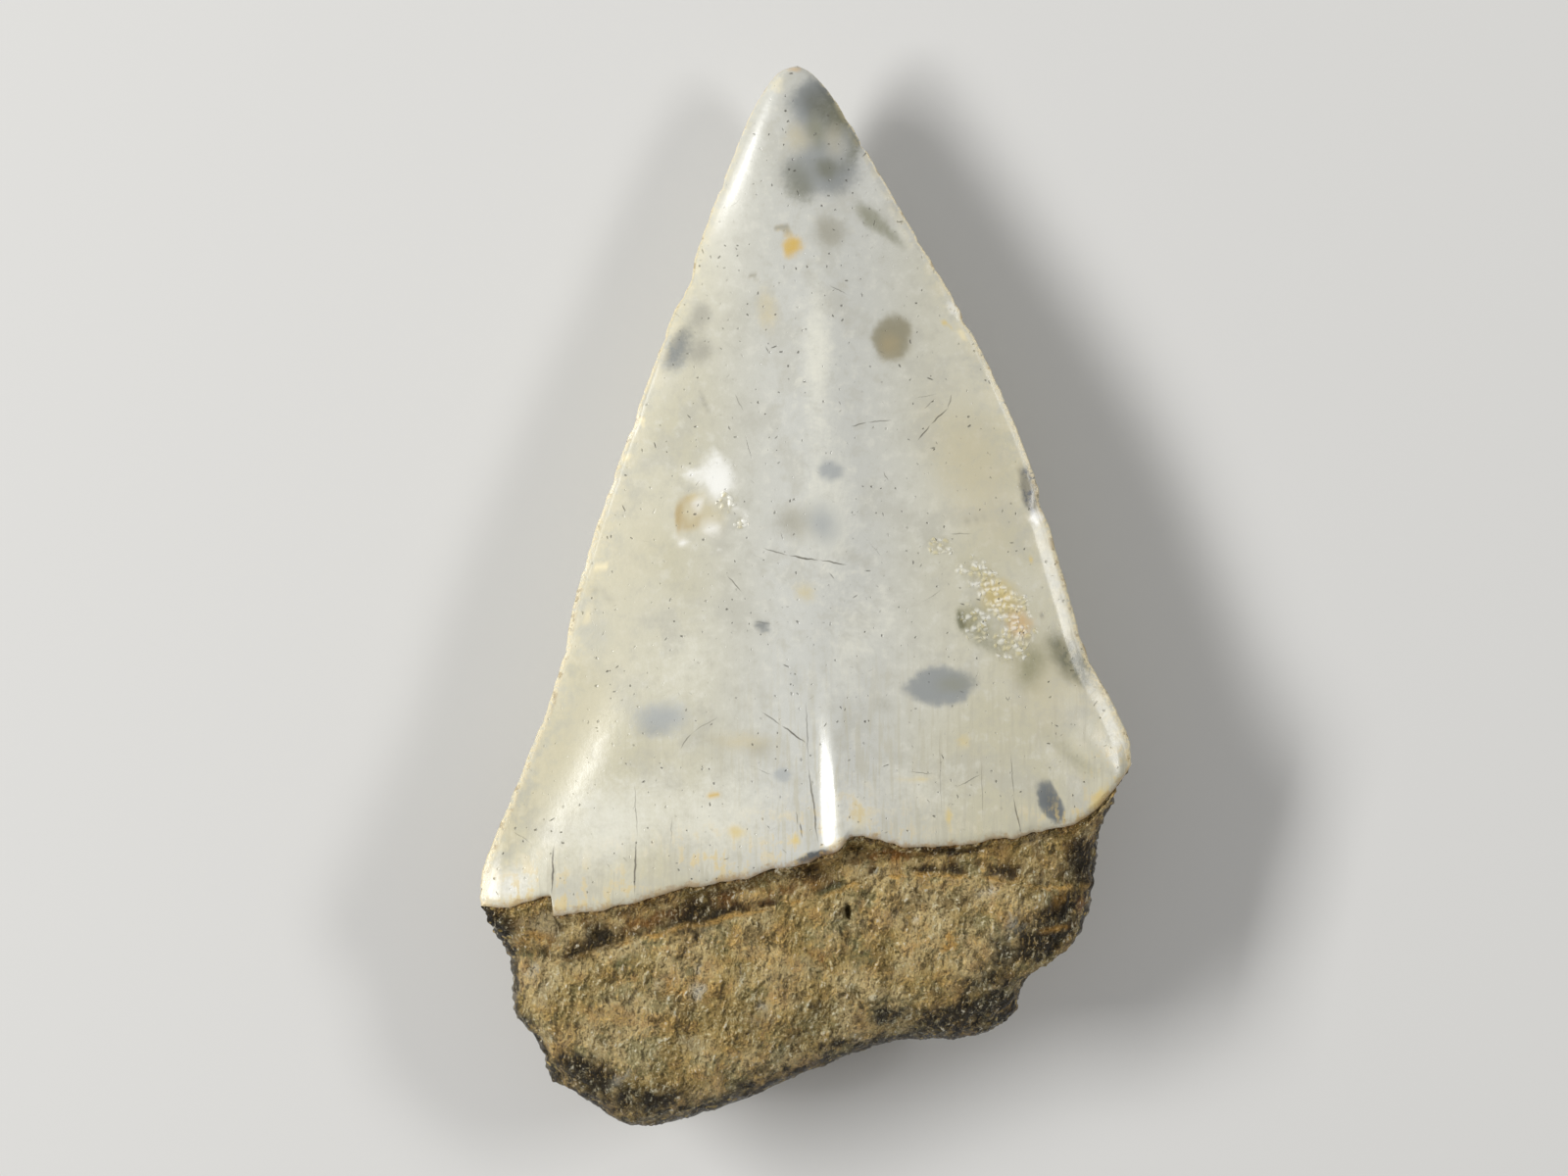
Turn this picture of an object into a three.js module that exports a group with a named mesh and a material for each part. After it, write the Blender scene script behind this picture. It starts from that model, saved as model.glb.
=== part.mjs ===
// Fossil shark tooth: a broad flat crown of enamel on its root, grown as one natural piece.
// Millimetres, +Z up. The tooth lies on its rounded tongue side with the flat lip side up and
// its tip towards +Y. The origin is the middle of its outline, on the surface it lies on.
//
// The form is worked out in the tooth's own plane first: x across the tooth, y from root to
// tip, z out of the lip side, with z = 0 at the cutting edges. It is laid down at the end.

import * as THREE from "three";
import { ParametricGeometry } from "three/addons/geometries/ParametricGeometry.js";
import { mergeVertices } from "three/addons/utils/BufferGeometryUtils.js";

// ---- outline of the tooth, seen square to its lip side ------------------------------------

const TIP = [-0.3, 20.86];
const LEFT_CORNER = [-12.75, -12.2];
const RIGHT_CORNER = [12.87, -6.6];

// Cutting edges, from the tip down to the corners of the crown.
const LEFT_CUTTING_EDGE = [
  TIP, [-1.2, 20.4], [-2.35, 18.4], [-4.15, 13.8], [-4.5, 12.35], [-5.05, 11.4], [-6.75, 6.8],
  [-8.7, 1.1], [-9.85, -3.6], [-11.6, -8.1], [-12.65, -10.7], LEFT_CORNER,
];
const RIGHT_CUTTING_EDGE = [
  TIP, [0.45, 20.4], [1.6, 18.85], [4.45, 14.05], [6.6, 10.35], [8.7, 5.7], [10.15, 0.9],
  [11.15, -2.35], [12.1, -4.15], [12.75, -5.6], RIGHT_CORNER,
];

// Sides of the root, from the corners of the crown down to its foot.
const LEFT_FOOT_CORNER = [-10.0, -19.1];
const RIGHT_FOOT_CORNER = [8.15, -16.6];
const LEFT_ROOT_SIDE = [
  LEFT_CORNER, [-12.35, -12.95], [-11.75, -13.9], [-11.5, -15.1], [-11.45, -16.4], [-10.5, -17.6],
  LEFT_FOOT_CORNER,
];
const RIGHT_ROOT_SIDE = [
  RIGHT_CORNER, [12.1, -8.0], [11.6, -9.4], [11.5, -10.5], [11.25, -12.1], [10.9, -13.3],
  [9.8, -14.2], [8.95, -14.8], RIGHT_FOOT_CORNER,
];

// Foot of the root, from its left side to its right side: a longer left lobe, a short right one.
const ROOT_FOOT = [
  LEFT_FOOT_CORNER, [-8.45, -20.05], [-7.4, -20.8], [-6.3, -21.0], [-4.4, -20.6], [-2.2, -19.85],
  [0.2, -18.8], [3.5, -17.65], [6.7, -17.45], RIGHT_FOOT_CORNER,
];

// Lower edge of the enamel on the lip side, from the left corner to the right corner.
const ENAMEL_LINE = [
  LEFT_CORNER, [-11.4, -12.3], [-9.9, -12.6], [-7.0, -12.1], [-4.7, -11.5], [-1.5, -10.85],
  [1.1, -10.1], [2.0, -9.45], [4.5, -9.85], [7.8, -9.5], [10.6, -8.9], [11.6, -8.25], [12.4, -7.3],
  RIGHT_CORNER,
];

// Edge of the root's outer layer on the lip side: a shallow ledge below the enamel.
const LEDGE_LINE = [
  [-12.0, -14.2], [-9.3, -14.3], [-6.6, -13.5], [-2.6, -12.5], [0.3, -11.9], [3.5, -10.9],
  [6.8, -11.05], [9.6, -11.5], [11.6, -11.3],
];

// ---- thickness ------------------------------------------------------------------------------

const CROWN_LIP_BULGE = { tip: 0.14, base: 0.05 }; // bulge over the width of the blade
const LIP_FLATNESS = 2.4; // power of that bulge's section: higher is flatter
const TIP_SKEW = 0.25; // near the tip the lip side is highest left of its middle
const TIP_SHARE = 0.4; // of the crown, from the tip down
const CROWN_TONGUE_BULGE = { tip: 0.42, base: 0.19 };
const TONGUE_FLATNESS = 0.9; // below 1 is fuller than an arc
const ENAMEL_STEP = 0.28; // the enamel stands this proud of the root
const TONGUE_ARCH = 3.4; // the enamel ends this much nearer the tip in the middle of the tongue side
const ENAMEL_EDGE_REACH = { crown: 2, root: 1.3 }; // how fast its bend dies out up and down the tooth
const NECK = { recess: 0.25, at: 0.07, length: 0.07 }; // hollow band under the tongue side's enamel
const BAND = { recess: 0.24, from: 0.01, full: 0.06 }; // hollow band from the enamel to the ledge
const ROOT_EDGE_HEIGHT = -2.3; // height of the root's outline below the cutting edges
const ROOT_LIP_HEIGHT = 0.95; // the root's flat lip face
const ROOT_LIP_FALL = 0.6; // how far that face falls towards the foot
const ROOT_FULL_BY = { edge: 0.3, lip: 0.1, tongue: 0.32 }; // where the root has its own form, down it
const ROOT_LIP_ROUNDING = { sides: 9, foot: 7 }; // powers: higher rounds over closer to the outline
const ROOT_TONGUE_ROUNDING = { sides: 4, foot: 5 };
const TORUS_DEPTH = { left: 6.55, right: 6.36 }; // the root's thickest part, on the tongue side
const TORUS_AT = 0.36; // its place down the root, from enamel to foot
const TORUS_LENGTH = 0.36; // how far it reaches up and down the root
const LOBE_DEPTH = 4.3; // the tongue side at the foot
const LOBE = { spread: 0.42, width: 0.55 }; // the two swellings of the torus, out from its middle
const NUTRIENT_HOLLOW = { depth: 0.4, width: 0.22 }; // the hollow between the two swellings
const LEDGE_WIDTH = 0.3; // distance over which the ledge drops to the band
const LUMP_HEIGHT = 0.1; // the root's surface is gently uneven all over
const LUMP_PITCH = 1.9;

// ---- relief of the lip side -----------------------------------------------------------------

const RELIEF_FADE = 8; // power by which it fades towards the cutting edges
const FOLD = {
  top: [0.6, -2.6], foot: [1.05, -10.1], rise: 0.44, fullBy: 0.85,
  width: { top: 0.4, foot: 1.0 }, runOut: 2.4,
};
// Troughs by the crown's two corners, each beside a low ridge: a depth below zero is a ridge.
const GROOVES = [
  { from: [-6.9, -1.2], to: [-11.4, -10.4], width: 1.35, depth: 0.27 },
  { from: [-5.6, -3.4], to: [-10.6, -10.6], width: 1.3, depth: -0.12 },
  { from: [9.0, -4.6], to: [11.2, -7.2], width: 0.7, depth: 0.17 },
  { from: [8.6, -3.6], to: [12.1, -6.8], width: 0.65, depth: -0.15 },
];
const GROOVE_RUN_IN = 0.55; // share of its length over which a groove deepens
// The cutting edges slope off: narrowly above, widely low on the right and at the left corner.
const EDGE_ROUNDING = {
  height: { narrow: 0.03, left: 0.18, right: 0.11 }, reach: { narrow: 0.3, wide: 0.8 },
  left: { top: -8.8, foot: -11.2 }, right: { top: 4.4, foot: 2.8 }, // where it widens, along y
  steepening: 1.25, // of its slope, towards the edge
};
// A low ridge down the middle of the blade, from near the tip.
const CREST = { at: 0.6, height: 0.22, width: 1.7, from: 0.1, full: 0.4 };

const LYING_TILT = 4.8; // degrees that the lip side falls towards the tip as the tooth lies

// ---- fineness of the facets -----------------------------------------------------------------

const COLUMNS = 40; // across each side
const CROWN_ROWS = 32;
const ROOT_ROWS = 24;

// ---- small maths ----------------------------------------------------------------------------

const { lerp, clamp, smoothstep, degToRad } = THREE.MathUtils;
const curveThrough = (points) => new THREE.SplineCurve(points.map((p) => new THREE.Vector2(...p)));
const mixPoints = (a, b, t) => new THREE.Vector2().lerpVectors(a, b, t);
const bell = (off) => Math.exp(-off * off);

const leftEdge = curveThrough(LEFT_CUTTING_EDGE);
const rightEdge = curveThrough(RIGHT_CUTTING_EDGE);
const leftSide = curveThrough(LEFT_ROOT_SIDE);
const rightSide = curveThrough(RIGHT_ROOT_SIDE);
const foot = curveThrough(ROOT_FOOT);
const enamelLine = curveThrough(ENAMEL_LINE);
const leftCorner = new THREE.Vector2(...LEFT_CORNER);
const rightCorner = new THREE.Vector2(...RIGHT_CORNER);

// How far a curve from a to b bows away from the straight line between its ends, at s.
function bow(curve, a, b, s) {
  return curve.getPointAt(s).sub(mixPoints(a, b, s));
}

// The height of the ledge line at x, by straight runs between its points.
function ledgeAt(x) {
  const next = LEDGE_LINE.findIndex((p) => p[0] > x);
  if (next === 0) return LEDGE_LINE[0][1];
  if (next < 0) return LEDGE_LINE.at(-1)[1];
  const [a, b] = [LEDGE_LINE[next - 1], LEDGE_LINE[next]];
  return lerp(a[1], b[1], (x - a[0]) / (b[0] - a[0]));
}

// ---- plan: where a point of the tooth lies, s across from left to right ----------------------

// The enamel's lower edge on either side. On the tongue side it arches towards the tip.
function enamelEdge(s, lip) {
  const edge = enamelLine.getPointAt(s);
  if (lip) return edge;
  const straight = mixPoints(leftCorner, rightCorner, s);
  straight.y += TONGUE_ARCH * Math.sin(Math.PI * s) ** 1.5;
  return straight;
}

// The crown, f from 0 at the tip to 1 at the enamel's lower edge.
function crownPlan(s, f, lip) {
  const row = mixPoints(leftEdge.getPointAt(f), rightEdge.getPointAt(f), s);
  const sag = enamelEdge(s, lip).sub(mixPoints(leftCorner, rightCorner, s));
  return row.addScaledVector(sag, f ** ENAMEL_EDGE_REACH.crown);
}

// The root, g from 0 at the enamel to 1 at the foot.
function rootPlan(s, g, lip) {
  const row = mixPoints(leftSide.getPointAt(g), rightSide.getPointAt(g), s);
  const sag = enamelEdge(s, lip).sub(mixPoints(leftCorner, rightCorner, s));
  const footBow = bow(foot, leftSide.getPointAt(1), rightSide.getPointAt(1), s);
  return row.addScaledVector(sag, (1 - g) ** ENAMEL_EDGE_REACH.root).addScaledVector(footBow, g);
}

// ---- height ---------------------------------------------------------------------------------

// How near p lies to a groove's line: 1 on the line, fading out sideways and towards its start.
function alongLine({ from, to, width }, p) {
  const a = new THREE.Vector2(...from);
  const run = new THREE.Vector2(...to).sub(a);
  const way = clamp(p.clone().sub(a).dot(run) / run.lengthSq(), 0, 1);
  const off = p.distanceTo(a.addScaledVector(run, way)) / width;
  return bell(off) * smoothstep(way, 0, GROOVE_RUN_IN);
}

// The sharp fold that runs up the middle of the crown from the enamel's edge.
function foldRise(p) {
  const down = clamp((FOLD.top[1] - p.y) / (FOLD.top[1] - FOLD.foot[1]), 0, 1);
  const off = p.x - lerp(FOLD.top[0], FOLD.foot[0], down);
  const half = lerp(FOLD.width.top, FOLD.width.foot, down) / 2;
  const step = (smoothstep(off, -half, half) + clamp(off / half / 2 + 0.5, 0, 1)) / 2;
  const runOut = Math.exp(-Math.max(off - half, 0) / FOLD.runOut);
  return FOLD.rise * smoothstep(down, 0, FOLD.fullBy) * step * runOut;
}

// How the lip side falls away over the last of its width to either cutting edge.
function edgeRounding(across, width, p) {
  const { height, reach, left, right, steepening } = EDGE_ROUNDING;
  const leftWide = smoothstep(-p.y, -left.top, -left.foot);
  const rightWide = smoothstep(-p.y, -right.top, -right.foot);
  const leftHeight = lerp(height.narrow, height.left, leftWide);
  const rightHeight = lerp(height.narrow, height.right, rightWide);
  const fall = lerp(leftHeight, rightHeight, smoothstep(across, -0.8, 0.8));
  const over = lerp(reach.narrow, reach.wide, across < 0 ? leftWide : rightWide);
  const inside = clamp(((1 - Math.abs(across)) * width) / 2 / over, 0, 1);
  return fall * (1 - (1 - inside) ** steepening);
}

// Lip side of the crown: almost flat, with a low crest, side troughs and the fold.
function crownLipHeight(across, width, f, p) {
  const nearTip = 1 - smoothstep(f, 0, TIP_SHARE);
  const bulge = width * lerp(CROWN_LIP_BULGE.base, CROWN_LIP_BULGE.tip, nearTip);
  const skewed = Math.abs(across + TIP_SKEW * nearTip * (1 - across ** 2));
  const ridge = CREST.height * bell((p.x - CREST.at) / CREST.width);
  const crest = ridge * smoothstep(f, CREST.from, CREST.full);
  const grooves = GROOVES.reduce((sum, g) => sum + g.depth * alongLine(g, p), 0);
  const relief = (1 - Math.abs(across) ** RELIEF_FADE) * (crest + foldRise(p) - grooves);
  return bulge * (1 - skewed ** LIP_FLATNESS) + edgeRounding(across, width, p) + relief;
}

function crownTongueHeight(across, width, f) {
  const bulge = width * lerp(CROWN_TONGUE_BULGE.tip, CROWN_TONGUE_BULGE.base, f);
  return -bulge * (1 - across ** 2) ** TONGUE_FLATNESS;
}

// The root's gentle unevenness, as crossing waves whose crests wander.
function lumps(p, across, g) {
  const u = (2 * Math.PI * p.x) / LUMP_PITCH;
  const v = (2 * Math.PI * p.y) / LUMP_PITCH;
  const waveAcross = Math.sin(0.8 * u + 0.9 * Math.sin(0.45 * v));
  const waveAlong = Math.sin(0.7 * v + 1.1 * Math.sin(0.4 * u));
  const wave = waveAcross * waveAlong;
  return LUMP_HEIGHT * wave * (1 - across ** 6) * smoothstep(g, 0.02, 0.2) * (1 - g ** 6);
}

// How much of its full height a root face keeps near the root's sides and foot.
function rounding(across, g, powers) {
  return Math.sqrt((1 - Math.abs(across) ** powers.sides) * (1 - g ** powers.foot));
}

function rootEdgeHeight(g) {
  return ROOT_EDGE_HEIGHT * smoothstep(g, 0, ROOT_FULL_BY.edge);
}

function rootLipHeight(across, width, g, p) {
  const start = crownLipHeight(across, width, 1, p) - ENAMEL_STEP * (1 - Math.abs(across) ** 12);
  const ledge = ledgeAt(p.x);
  const inBand = smoothstep(p.y, ledge - LEDGE_WIDTH / 2, ledge + LEDGE_WIDTH / 2);
  const recess = BAND.recess * inBand * smoothstep(g, BAND.from, BAND.full);
  const band = recess * (1 - Math.abs(across) ** RELIEF_FADE);
  const flat = ROOT_LIP_HEIGHT - ROOT_LIP_FALL * g ** 2;
  const face = (flat - rootEdgeHeight(g)) * rounding(across, g, ROOT_LIP_ROUNDING);
  const body = lerp(start, face, smoothstep(g, 0, ROOT_FULL_BY.lip));
  return rootEdgeHeight(g) + body - band + lumps(p, across, g);
}

function rootTongueHeight(across, width, g, p) {
  const start = crownTongueHeight(across, width, 1) + ENAMEL_STEP * (1 - across ** 4);
  const swell = bell((g - TORUS_AT) / TORUS_LENGTH);
  const hollow = NUTRIENT_HOLLOW.depth * bell(across / NUTRIENT_HOLLOW.width) * swell;
  const lobes = bell((Math.abs(across) - LOBE.spread) / LOBE.width);
  const thickest = lerp(TORUS_DEPTH.left, TORUS_DEPTH.right, smoothstep(across, -0.3, 0.3));
  const depth = lerp(LOBE_DEPTH, thickest, swell * lobes) - hollow;
  const neck = NECK.recess * bell((g - NECK.at) / NECK.length) * (1 - across ** 2);
  const face = (depth + rootEdgeHeight(g)) * rounding(across, g, ROOT_TONGUE_ROUNDING);
  const body = lerp(start, -face, smoothstep(g, 0, ROOT_FULL_BY.tongue));
  return rootEdgeHeight(g) + body + neck - lumps(p, across, g);
}

// ---- the whole surface ------------------------------------------------------------------------

// Fineness: columns crowd towards the two edges, rows towards the tip, the enamel and the foot.
const crowdBothEnds = (t) => lerp(t, (1 - Math.cos(Math.PI * t)) / 2, 0.6);
const crownFraction = (row) => crowdBothEnds(row / CROWN_ROWS) ** 1.25;
const rootFraction = (row) => crowdBothEnds(row / ROOT_ROWS);

// A point of the surface. Columns go right to left over the lip side and back over the tongue
// side. Row 0 is the tip, the last row is the foot, where the two sides close on each other.
function surfacePoint(column, row) {
  const lip = column <= COLUMNS;
  const s = crowdBothEnds(Math.abs(COLUMNS - column) / COLUMNS);
  const across = 2 * s - 1;
  const inCrown = row <= CROWN_ROWS;
  const way = inCrown ? crownFraction(row) : rootFraction(row - CROWN_ROWS);
  const p = inCrown ? crownPlan(s, way, lip) : rootPlan(s, way, lip);
  const ends = inCrown ? [leftEdge, rightEdge] : [leftSide, rightSide];
  const width = ends[0].getPointAt(way).distanceTo(ends[1].getPointAt(way));
  let height;
  if (inCrown) {
    height = lip ? crownLipHeight(across, width, way, p) : crownTongueHeight(across, width, way);
  } else {
    const crownWidth = leftCorner.distanceTo(rightCorner);
    height = lip
      ? rootLipHeight(across, crownWidth, way, p)
      : rootTongueHeight(across, crownWidth, way, p);
  }
  return new THREE.Vector3(p.x, p.y, height);
}

function toothGeometry() {
  const rows = CROWN_ROWS + ROOT_ROWS;
  const skin = new ParametricGeometry(
    (u, v, target) => target.copy(surfacePoint(Math.round(u * 2 * COLUMNS), Math.round(v * rows))),
    2 * COLUMNS,
    rows,
  );
  skin.deleteAttribute("normal");
  skin.deleteAttribute("uv");
  return mergeVertices(skin, 1e-4);
}

function makeTooth() {
  const geometry = toothGeometry();
  geometry.rotateX(-degToRad(LYING_TILT));
  geometry.computeBoundingBox();
  const { min, max } = geometry.boundingBox;
  geometry.translate(-(min.x + max.x) / 2, -(min.y + max.y) / 2, -min.z);
  const ivory = new THREE.MeshStandardMaterial({ color: 0xcac7b6, roughness: 0.3, metalness: 0 });
  const tooth = new THREE.Mesh(geometry, ivory);
  tooth.name = "tooth";
  return tooth;
}

const part = new THREE.Group();
part.add(makeTooth());
export default part;
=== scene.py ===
import math

import bmesh
import bpy
import numpy as np
from mathutils import Matrix, Vector, noise


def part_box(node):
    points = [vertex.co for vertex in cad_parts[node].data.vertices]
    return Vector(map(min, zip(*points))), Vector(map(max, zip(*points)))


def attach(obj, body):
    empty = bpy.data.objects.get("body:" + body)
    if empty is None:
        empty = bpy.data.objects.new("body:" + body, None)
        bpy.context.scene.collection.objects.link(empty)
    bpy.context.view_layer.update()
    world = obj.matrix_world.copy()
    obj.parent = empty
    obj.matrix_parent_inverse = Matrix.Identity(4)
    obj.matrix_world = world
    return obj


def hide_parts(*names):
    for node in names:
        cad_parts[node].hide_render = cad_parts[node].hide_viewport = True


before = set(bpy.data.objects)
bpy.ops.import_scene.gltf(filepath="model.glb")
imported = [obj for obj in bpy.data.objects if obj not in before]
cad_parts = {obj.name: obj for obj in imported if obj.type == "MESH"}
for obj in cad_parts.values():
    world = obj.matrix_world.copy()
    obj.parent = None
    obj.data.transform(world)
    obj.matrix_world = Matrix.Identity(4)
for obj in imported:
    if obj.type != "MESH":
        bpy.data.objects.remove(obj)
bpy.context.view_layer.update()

MM = 0.001

# ---- how the tooth lies ------------------------------------------------------------------------
# The tooth's own plane has x across it, y from root to tip and z out of its flat lip side. It
# lies on its rounded tongue side, on the crest of the crown and the two swellings of the root,
# so the lip side falls a little towards the tip.

LYING_TILT = math.radians(4.8)
LAID_DOWN = Matrix.Rotation(-LYING_TILT, 3, "X")

# ---- tooth: outline ----------------------------------------------------------------------------
# One natural piece: a broad blade of enamel grown together with its bony root. Its outline is a
# leaning triangle with cutting edges down both sides, on a root with a long and a short lobe.

TIP = (-0.3, 20.86)
LEFT_CORNER = (-12.75, -12.2)
RIGHT_CORNER = (12.87, -6.6)
LEFT_FOOT_CORNER = (-10.0, -19.1)
RIGHT_FOOT_CORNER = (8.15, -16.6)
LEFT_CUTTING_EDGE = [
    TIP, (-1.2, 20.4), (-2.35, 18.4), (-4.15, 13.8), (-4.5, 12.35), (-5.05, 11.4), (-6.75, 6.8),
    (-8.7, 1.1), (-9.85, -3.6), (-11.6, -8.1), (-12.65, -10.7), LEFT_CORNER,
]
RIGHT_CUTTING_EDGE = [
    TIP, (0.45, 20.4), (1.6, 18.85), (4.45, 14.05), (6.6, 10.35), (8.7, 5.7), (10.15, 0.9),
    (11.15, -2.35), (12.1, -4.15), (12.75, -5.6), RIGHT_CORNER,
]
LEFT_ROOT_SIDE = [
    LEFT_CORNER, (-12.35, -12.95), (-11.75, -13.9), (-11.5, -15.1), (-11.45, -16.4),
    (-10.5, -17.6), LEFT_FOOT_CORNER,
]
RIGHT_ROOT_SIDE = [
    RIGHT_CORNER, (12.1, -8.0), (11.6, -9.4), (11.5, -10.5), (11.25, -12.1), (10.9, -13.3),
    (9.8, -14.2), (8.95, -14.8), RIGHT_FOOT_CORNER,
]
ROOT_FOOT = [
    LEFT_FOOT_CORNER, (-8.45, -20.05), (-7.4, -20.8), (-6.3, -21.0), (-4.4, -20.6), (-2.2, -19.85),
    (0.2, -18.8), (3.5, -17.65), (6.7, -17.45), RIGHT_FOOT_CORNER,
]
ENAMEL_LINE = [
    LEFT_CORNER, (-11.4, -12.3), (-9.9, -12.6), (-7.0, -12.1), (-4.7, -11.5), (-1.5, -10.85),
    (1.1, -10.1), (2.0, -9.45), (4.5, -9.85), (7.8, -9.5), (10.6, -8.9), (11.6, -8.25),
    (12.4, -7.3), RIGHT_CORNER,
]
LEDGE_LINE = [
    (-12.0, -14.2), (-9.3, -14.3), (-8.2, -13.9), (-6.6, -13.5), (-4.7, -13.0), (-2.6, -12.5),
    (-1.6, -12.3), (0.3, -11.9), (1.9, -11.3), (3.5, -10.9), (6.8, -11.05), (9.6, -11.5),
    (11.6, -11.3),
]
LEDGE_WAVES = [(0.14, 0.8, 6.6), (0.07, 0.25, 2.3)]  # height, pitch, seed
ENAMEL_CHIP = {"from": -11.6, "to": -9.95, "depth": 0.8}  # a flake lost from the left corner
CURVE_STEPS = 40  # straight runs in each stretch of a curve


def lerp(a, b, t):
    return a + (b - a) * t


def bell(off):
    return np.exp(-off * off)


def smoothstep(value, low, high):
    t = np.clip((value - low) / (high - low), 0, 1)
    return t * t * (3 - 2 * t)


class Curve:
    """A smooth curve through some points, read by the share of its length."""

    def __init__(self, points):
        p = np.array([points[0], *points, points[-1]], float)
        t = np.linspace(0, 1, CURVE_STEPS, endpoint=False)[:, None]
        runs = []
        for a, b, c, d in zip(p, p[1:], p[2:], p[3:]):
            v0, v1 = (c - a) / 2, (d - b) / 2
            cubic = (2 * b - 2 * c + v0 + v1) * t**3
            square = (3 * c - 3 * b - 2 * v0 - v1) * t**2
            runs.append(cubic + square + v0 * t + b)
        self.line = np.vstack([*runs, p[-1:]])
        steps = np.linalg.norm(np.diff(self.line, axis=0), axis=1)
        self.share = np.concatenate([[0], np.cumsum(steps)]) / steps.sum()

    def at(self, t):
        x = np.interp(t, self.share, self.line[:, 0])
        y = np.interp(t, self.share, self.line[:, 1])
        return np.stack([x, y], axis=-1)


left_edge = Curve(LEFT_CUTTING_EDGE)
right_edge = Curve(RIGHT_CUTTING_EDGE)
left_side = Curve(LEFT_ROOT_SIDE)
right_side = Curve(RIGHT_ROOT_SIDE)
root_foot = Curve(ROOT_FOOT)
enamel_line = Curve(ENAMEL_LINE)

# ---- tooth: grid of its skin -------------------------------------------------------------------
# The skin runs from the left cutting edge over the lip side to the right one and back over the
# tongue side. Its rows run from the tip to the enamel's edge, then down the root to the foot.

LIP_COLUMNS = 270
TONGUE_COLUMNS = 90
CROWN_ROWS = 160
ROOT_ROWS = 115
COLUMNS = LIP_COLUMNS + TONGUE_COLUMNS
ROWS = CROWN_ROWS + ROOT_ROWS
COLUMN_CROWDING = 0.4
ROW_CROWDING = 0.6


def crowd_both_ends(t, share):
    return lerp(t, (1 - np.cos(math.pi * t)) / 2, share)


tooth_mesh = bmesh.new()
grown = tooth_mesh.verts.layers.float_vector.new("grown")
bmesh.ops.create_grid(tooth_mesh, x_segments=COLUMNS, y_segments=ROWS, size=0.5)
tooth_mesh.verts.ensure_lookup_table()
flat = np.array([v.co[:2] for v in tooth_mesh.verts])
column = np.rint((flat[:, 0] + 0.5) * COLUMNS)
row = np.rint((flat[:, 1] + 0.5) * ROWS)

on_lip = column <= LIP_COLUMNS
lip_way = column / LIP_COLUMNS
tongue_way = (COLUMNS - column) / TONGUE_COLUMNS
s = crowd_both_ends(np.where(on_lip, lip_way, tongue_way), COLUMN_CROWDING)
across = 2 * s - 1
in_crown = row <= CROWN_ROWS
f = crowd_both_ends(np.clip(row / CROWN_ROWS, 0, 1), ROW_CROWDING) ** 1.25
g = crowd_both_ends(np.clip((row - CROWN_ROWS) / ROOT_ROWS, 0, 1), ROW_CROWDING)

# ---- tooth: where the skin lies in plan --------------------------------------------------------
# The enamel's edge is broken by small flakes on the lip side and arches up on the tongue side.
# The cutting edges carry small nicks from use, and the root's outline is worn and ragged.

TONGUE_ARCH = 3.4
ENAMEL_BREAKS = [(0.10, 0.9, 3.1), (0.07, 0.33, 8.7)]  # height, pitch, seed
SAG_FADE = {"crown": 2, "root": 1.3}  # powers: how soon the enamel line's shape dies out
FLAKE_FADE = {"crown": 30, "root": 9}
EDGE_WAVES = [(0.03, 0.45, 5.2, 40), (0.035, 0.17, 1.4, -70)]  # depth, pitch, seed, side's shift
EDGE_NICKS = [  # y, side, depth, length
    (16.1, -1, 0.10, 0.16), (11.75, -1, 0.12, 0.3), (10.0, -1, 0.07, 0.2), (6.7, -1, 0.08, 0.25),
    (4.4, -1, 0.07, 0.2), (1.2, -1, 0.1, 0.22), (-2.2, -1, 0.08, 0.3), (-4.9, -1, 0.06, 0.2),
    (17.7, 1, 0.07, 0.12), (13.9, 1, 0.08, 0.2), (12.8, 1, 0.08, 0.15), (10.75, 1, 0.14, 0.25),
    (3.5, 1, 0.15, 0.45), (-1.5, 1, 0.1, 0.3), (-2.5, 1, 0.08, 0.2),
]


def wavering(values, pitch, seed):
    """Smooth noise along a line, from -1 to 1."""
    return np.array([noise.noise(Vector((float(v) / pitch, seed, 0.5))) for v in values])


def waves_along(values, waves):
    """Several such waverings, each with its own height, added up."""
    return sum(height * wavering(values, pitch, seed) for height, pitch, seed in waves)


def ledge_height(at_x):
    """How far up the root its ledge runs."""
    return np.interp(at_x, *np.array(LEDGE_LINE).T) + waves_along(at_x, LEDGE_WAVES)


def enamel_sag(on_this_side):
    """How far the enamel's edge lies from the straight line between the crown's corners."""
    straight = lerp(np.array(LEFT_CORNER), np.array(RIGHT_CORNER), s[:, None])
    arch = TONGUE_ARCH * np.sin(math.pi * s) ** 1.5
    lip_sag = enamel_line.at(s) - straight
    tongue_sag = np.stack([np.zeros_like(s), arch], axis=-1)
    return np.where(on_this_side[:, None], lip_sag, tongue_sag)


line_x = enamel_line.at(s)[:, 0]
broken = waves_along(line_x, ENAMEL_BREAKS)
chip_way = (line_x - ENAMEL_CHIP["from"]) / (ENAMEL_CHIP["to"] - ENAMEL_CHIP["from"])
in_chip = np.where((chip_way > 0) & (chip_way < 1), np.clip(chip_way * 1.25, 0, 1), 0)
flaked = broken * (1 - across**6) + ENAMEL_CHIP["depth"] * in_chip
flaked = np.where(on_lip, flaked, 0.5 * broken * (1 - across**6))

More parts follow.
